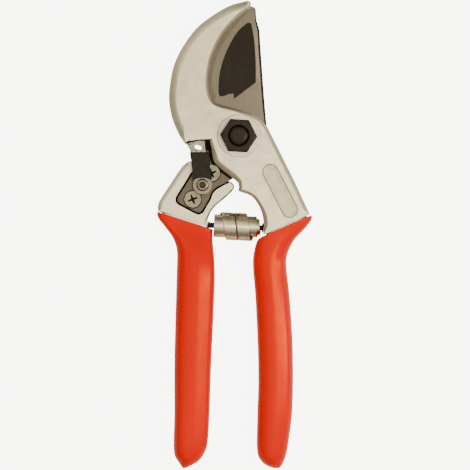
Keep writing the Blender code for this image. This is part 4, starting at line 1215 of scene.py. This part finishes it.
def build_pieces():
    metal = aluminium()
    edge_steel = ground_steel(
        "ground_edge_look", (0.165, 0.145, 0.125), (0.125, 0.108, 0.092), 20.0, 0.5)
    counter_steel = ground_steel("counter_look", (0.125, 0.11, 0.094), (0.085, 0.074, 0.063), 12.0)
    bright = bright_steel()
    oxide = black_oxide()
    vinyl = orange_vinyl()
    # dark is painted shade: near-black on the notch, the step by the hook, the handle's recess and
    # the screws' crosses
    dark = painted_shade()
    # dull is painted shade: the same aluminium made darker, for the cartouche's recess
    dull = aluminium("recess_shade_aluminium_look", (0.50, 0.46, 0.37), (0.58, 0.54, 0.44))
    hook = place(make_hook(), "hook_side", "hook_body", "cast_aluminium", metal, dull, dark)
    paint_hook(hook)
    place(make_cartouche_rim(), "hook_side", None, "cast_aluminium", metal)
    place(make_grip("hook_sleeve", HOOK_GRIP), "hook_side", "hook_grip", "orange_vinyl", vinyl)
    place(make_counter(), "hook_side", "counter_blade", "ground_steel", counter_steel)
    place(make_bolt(), "hook_side", "pivot_bolt", "black_steel", oxide)
    place(make_nut(), "hook_side", "pivot_nut", "black_steel", oxide)
    washer = make_washer("washer", "nut_washer", (0, 0), WASHER_RADIUS, BOLT_HOLE,
                         NUT_WASHER_EDGES, FINE_STEPS)
    place(washer, "hook_side", "nut_washer", "bright_steel", washer_steel())
    coil = place(make_spring(), None, "spring", "spring_steel", spring_steel())
    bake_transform(coil)
    blade = make_blade()
    place(blade, "blade_side", "blade", "ground_steel", edge_steel, coating(), dark)
    paint_blade(blade)
    handle = place(make_handle(), "blade_side", "blade_handle", "cast_aluminium", metal, dark)
    # painted shade: near-black on the recess's floor and walls around the tang
    tarnish_and_shade_between(handle, BLADE_REAR - 2 * GAP, RECESS_SHADE_FRONT,
                  within(recess_ring(), RECESS_MARGIN))
    place(make_grip("blade_sleeve", BLADE_GRIP), "blade_side", "blade_grip", "orange_vinyl", vinyl)
    screw = make_latch_screw()
    place(screw, "blade_side", "latch_screw", "bright_steel", bright, rust_brown())
    low, high, radius = SOCKET_DIRT
    tarnish_and_shade_between(screw, low, high, near(LATCH_PIVOT, radius))
    # painted shade: near-black in the screws' cross recesses
    low, high, radius = CROSS_SHADE
    for name, spot in TANG_SCREWS.items():
        screw = place(make_tang_screw(name, spot), "blade_side", name, "bright_steel", bright, dark)
        tarnish_and_shade_between(screw, low, high, near(spot, radius))
    place(make_lever(), "latch", "latch_lever", "bright_steel", polished_steel())
    place(make_cover(), "latch", "latch_cover", "black_plastic", black_plastic())
    washer = make_washer("latch_ring", "latch_washer", LATCH_PIVOT, LATCH_WASHER_RADIUS,
                         LATCH_HOLE, LATCH_WASHER_EDGES)
    place(washer, "latch", "latch_washer", "bright_steel", bright)
    kept = {"counter_screw_upper": bright, "counter_screw_lower": bright,
            "spring_seat_left": oxide, "spring_seat_right": oxide}
    for name, material in kept.items():
        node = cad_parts[name]
        node.data.materials.clear()
        node.data.materials.append(material)


# ---- Stage ---------------------------------------
def seen_white(tree, surface, lit):
    """Add white to what the eye sees of the surroundings, without lighting the object with it."""
    path = tree.nodes.new("ShaderNodeLightPath")
    white = tree.nodes.new("ShaderNodeBackground" if lit else "ShaderNodeEmission")
    white.inputs["Color"].default_value = (*BACKDROP_WHITE, 1.0)
    white.inputs["Strength"].default_value = BACKDROP_STRENGTH
    both = tree.nodes.new("ShaderNodeMixShader")
    tree.links.new(path.outputs["Is Camera Ray"], both.inputs["Fac"])
    tree.links.new(surface, both.inputs[1])
    return white, both


def make_floor():
    """A plain pale floor just under the shears."""
    bpy.ops.mesh.primitive_plane_add(size=FLOOR_SIZE, location=(0, 0, FLOOR_HEIGHT))
    floor = bpy.context.object
    floor.name = "floor"
    look = Look("floor_look", 0.9)
    look.colour(look.mix(look.noise(400.0), (0.78, 0.78, 0.77), (0.82, 0.82, 0.81)))
    tree, surface = look.tree, look.shader.outputs["BSDF"]
    white, both = seen_white(tree, surface, False)
    total = tree.nodes.new("ShaderNodeAddShader")
    tree.links.new(surface, total.inputs[0])
    tree.links.new(white.outputs["Emission"], total.inputs[1])
    tree.links.new(total.outputs["Shader"], both.inputs[2])
    tree.links.new(both.outputs["Shader"], tree.nodes["Material Output"].inputs["Surface"])
    floor.data.materials.append(look.material)


def make_world():
    """A warm studio: bright overhead, dim towards the sides."""
    world = bpy.data.worlds.new("studio")
    bpy.context.scene.world = world
    world.use_nodes = True
    tree = world.node_tree
    background = tree.nodes["Background"]
    toward = tree.nodes.new("ShaderNodeTexCoord")
    split = tree.nodes.new("ShaderNodeSeparateXYZ")
    ramp = tree.nodes.new("ShaderNodeValToRGB")
    stops = ramp.color_ramp.elements
    for position, _ in SKY[1:-1]:
        stops.new(position)
    for stop, (position, level) in zip(stops, SKY):
        stop.position = position
        stop.color = (*[level * part for part in WARM], 1.0)
    tree.links.new(toward.outputs["Generated"], split.inputs["Vector"])
    tree.links.new(split.outputs["Z"], ramp.inputs["Fac"])
    tree.links.new(ramp.outputs["Color"], background.inputs["Color"])
    background.inputs["Strength"].default_value = SKY_STRENGTH
    white, both = seen_white(tree, background.outputs["Background"], True)
    tree.links.new(white.outputs["Background"], both.inputs[2])
    tree.links.new(both.outputs["Shader"], tree.nodes["World Output"].inputs["Surface"])


def make_lights():
    """Warm area lights aimed at the shears."""
    for name, (spot, width, length, power) in LIGHTS.items():
        data = bpy.data.lights.new(name, "AREA")
        data.shape = "RECTANGLE"
        data.size = width
        data.size_y = length
        data.energy = power
        data.color = WARM
        light = bpy.data.objects.new(name, data)
        bpy.context.scene.collection.objects.link(light)
        light.location = spot
        toward = Vector(LIGHT_TARGET) - Vector(spot)
        light.rotation_euler = toward.to_track_quat("-Z", "Y").to_euler()


def make_camera():
    """A long lens straight above the shears."""
    data = bpy.data.cameras.new("camera")
    data.sensor_width = SENSOR_WIDTH
    data.lens = LENS
    camera = bpy.data.objects.new("camera", data)
    bpy.context.scene.collection.objects.link(camera)
    x, y, z = VIEW_CENTRE
    camera.location = (x, y, z + VIEW_WIDTH * LENS / SENSOR_WIDTH)
    bpy.context.scene.camera = camera


build_pieces()
make_floor()
make_world()
make_lights()
make_camera()
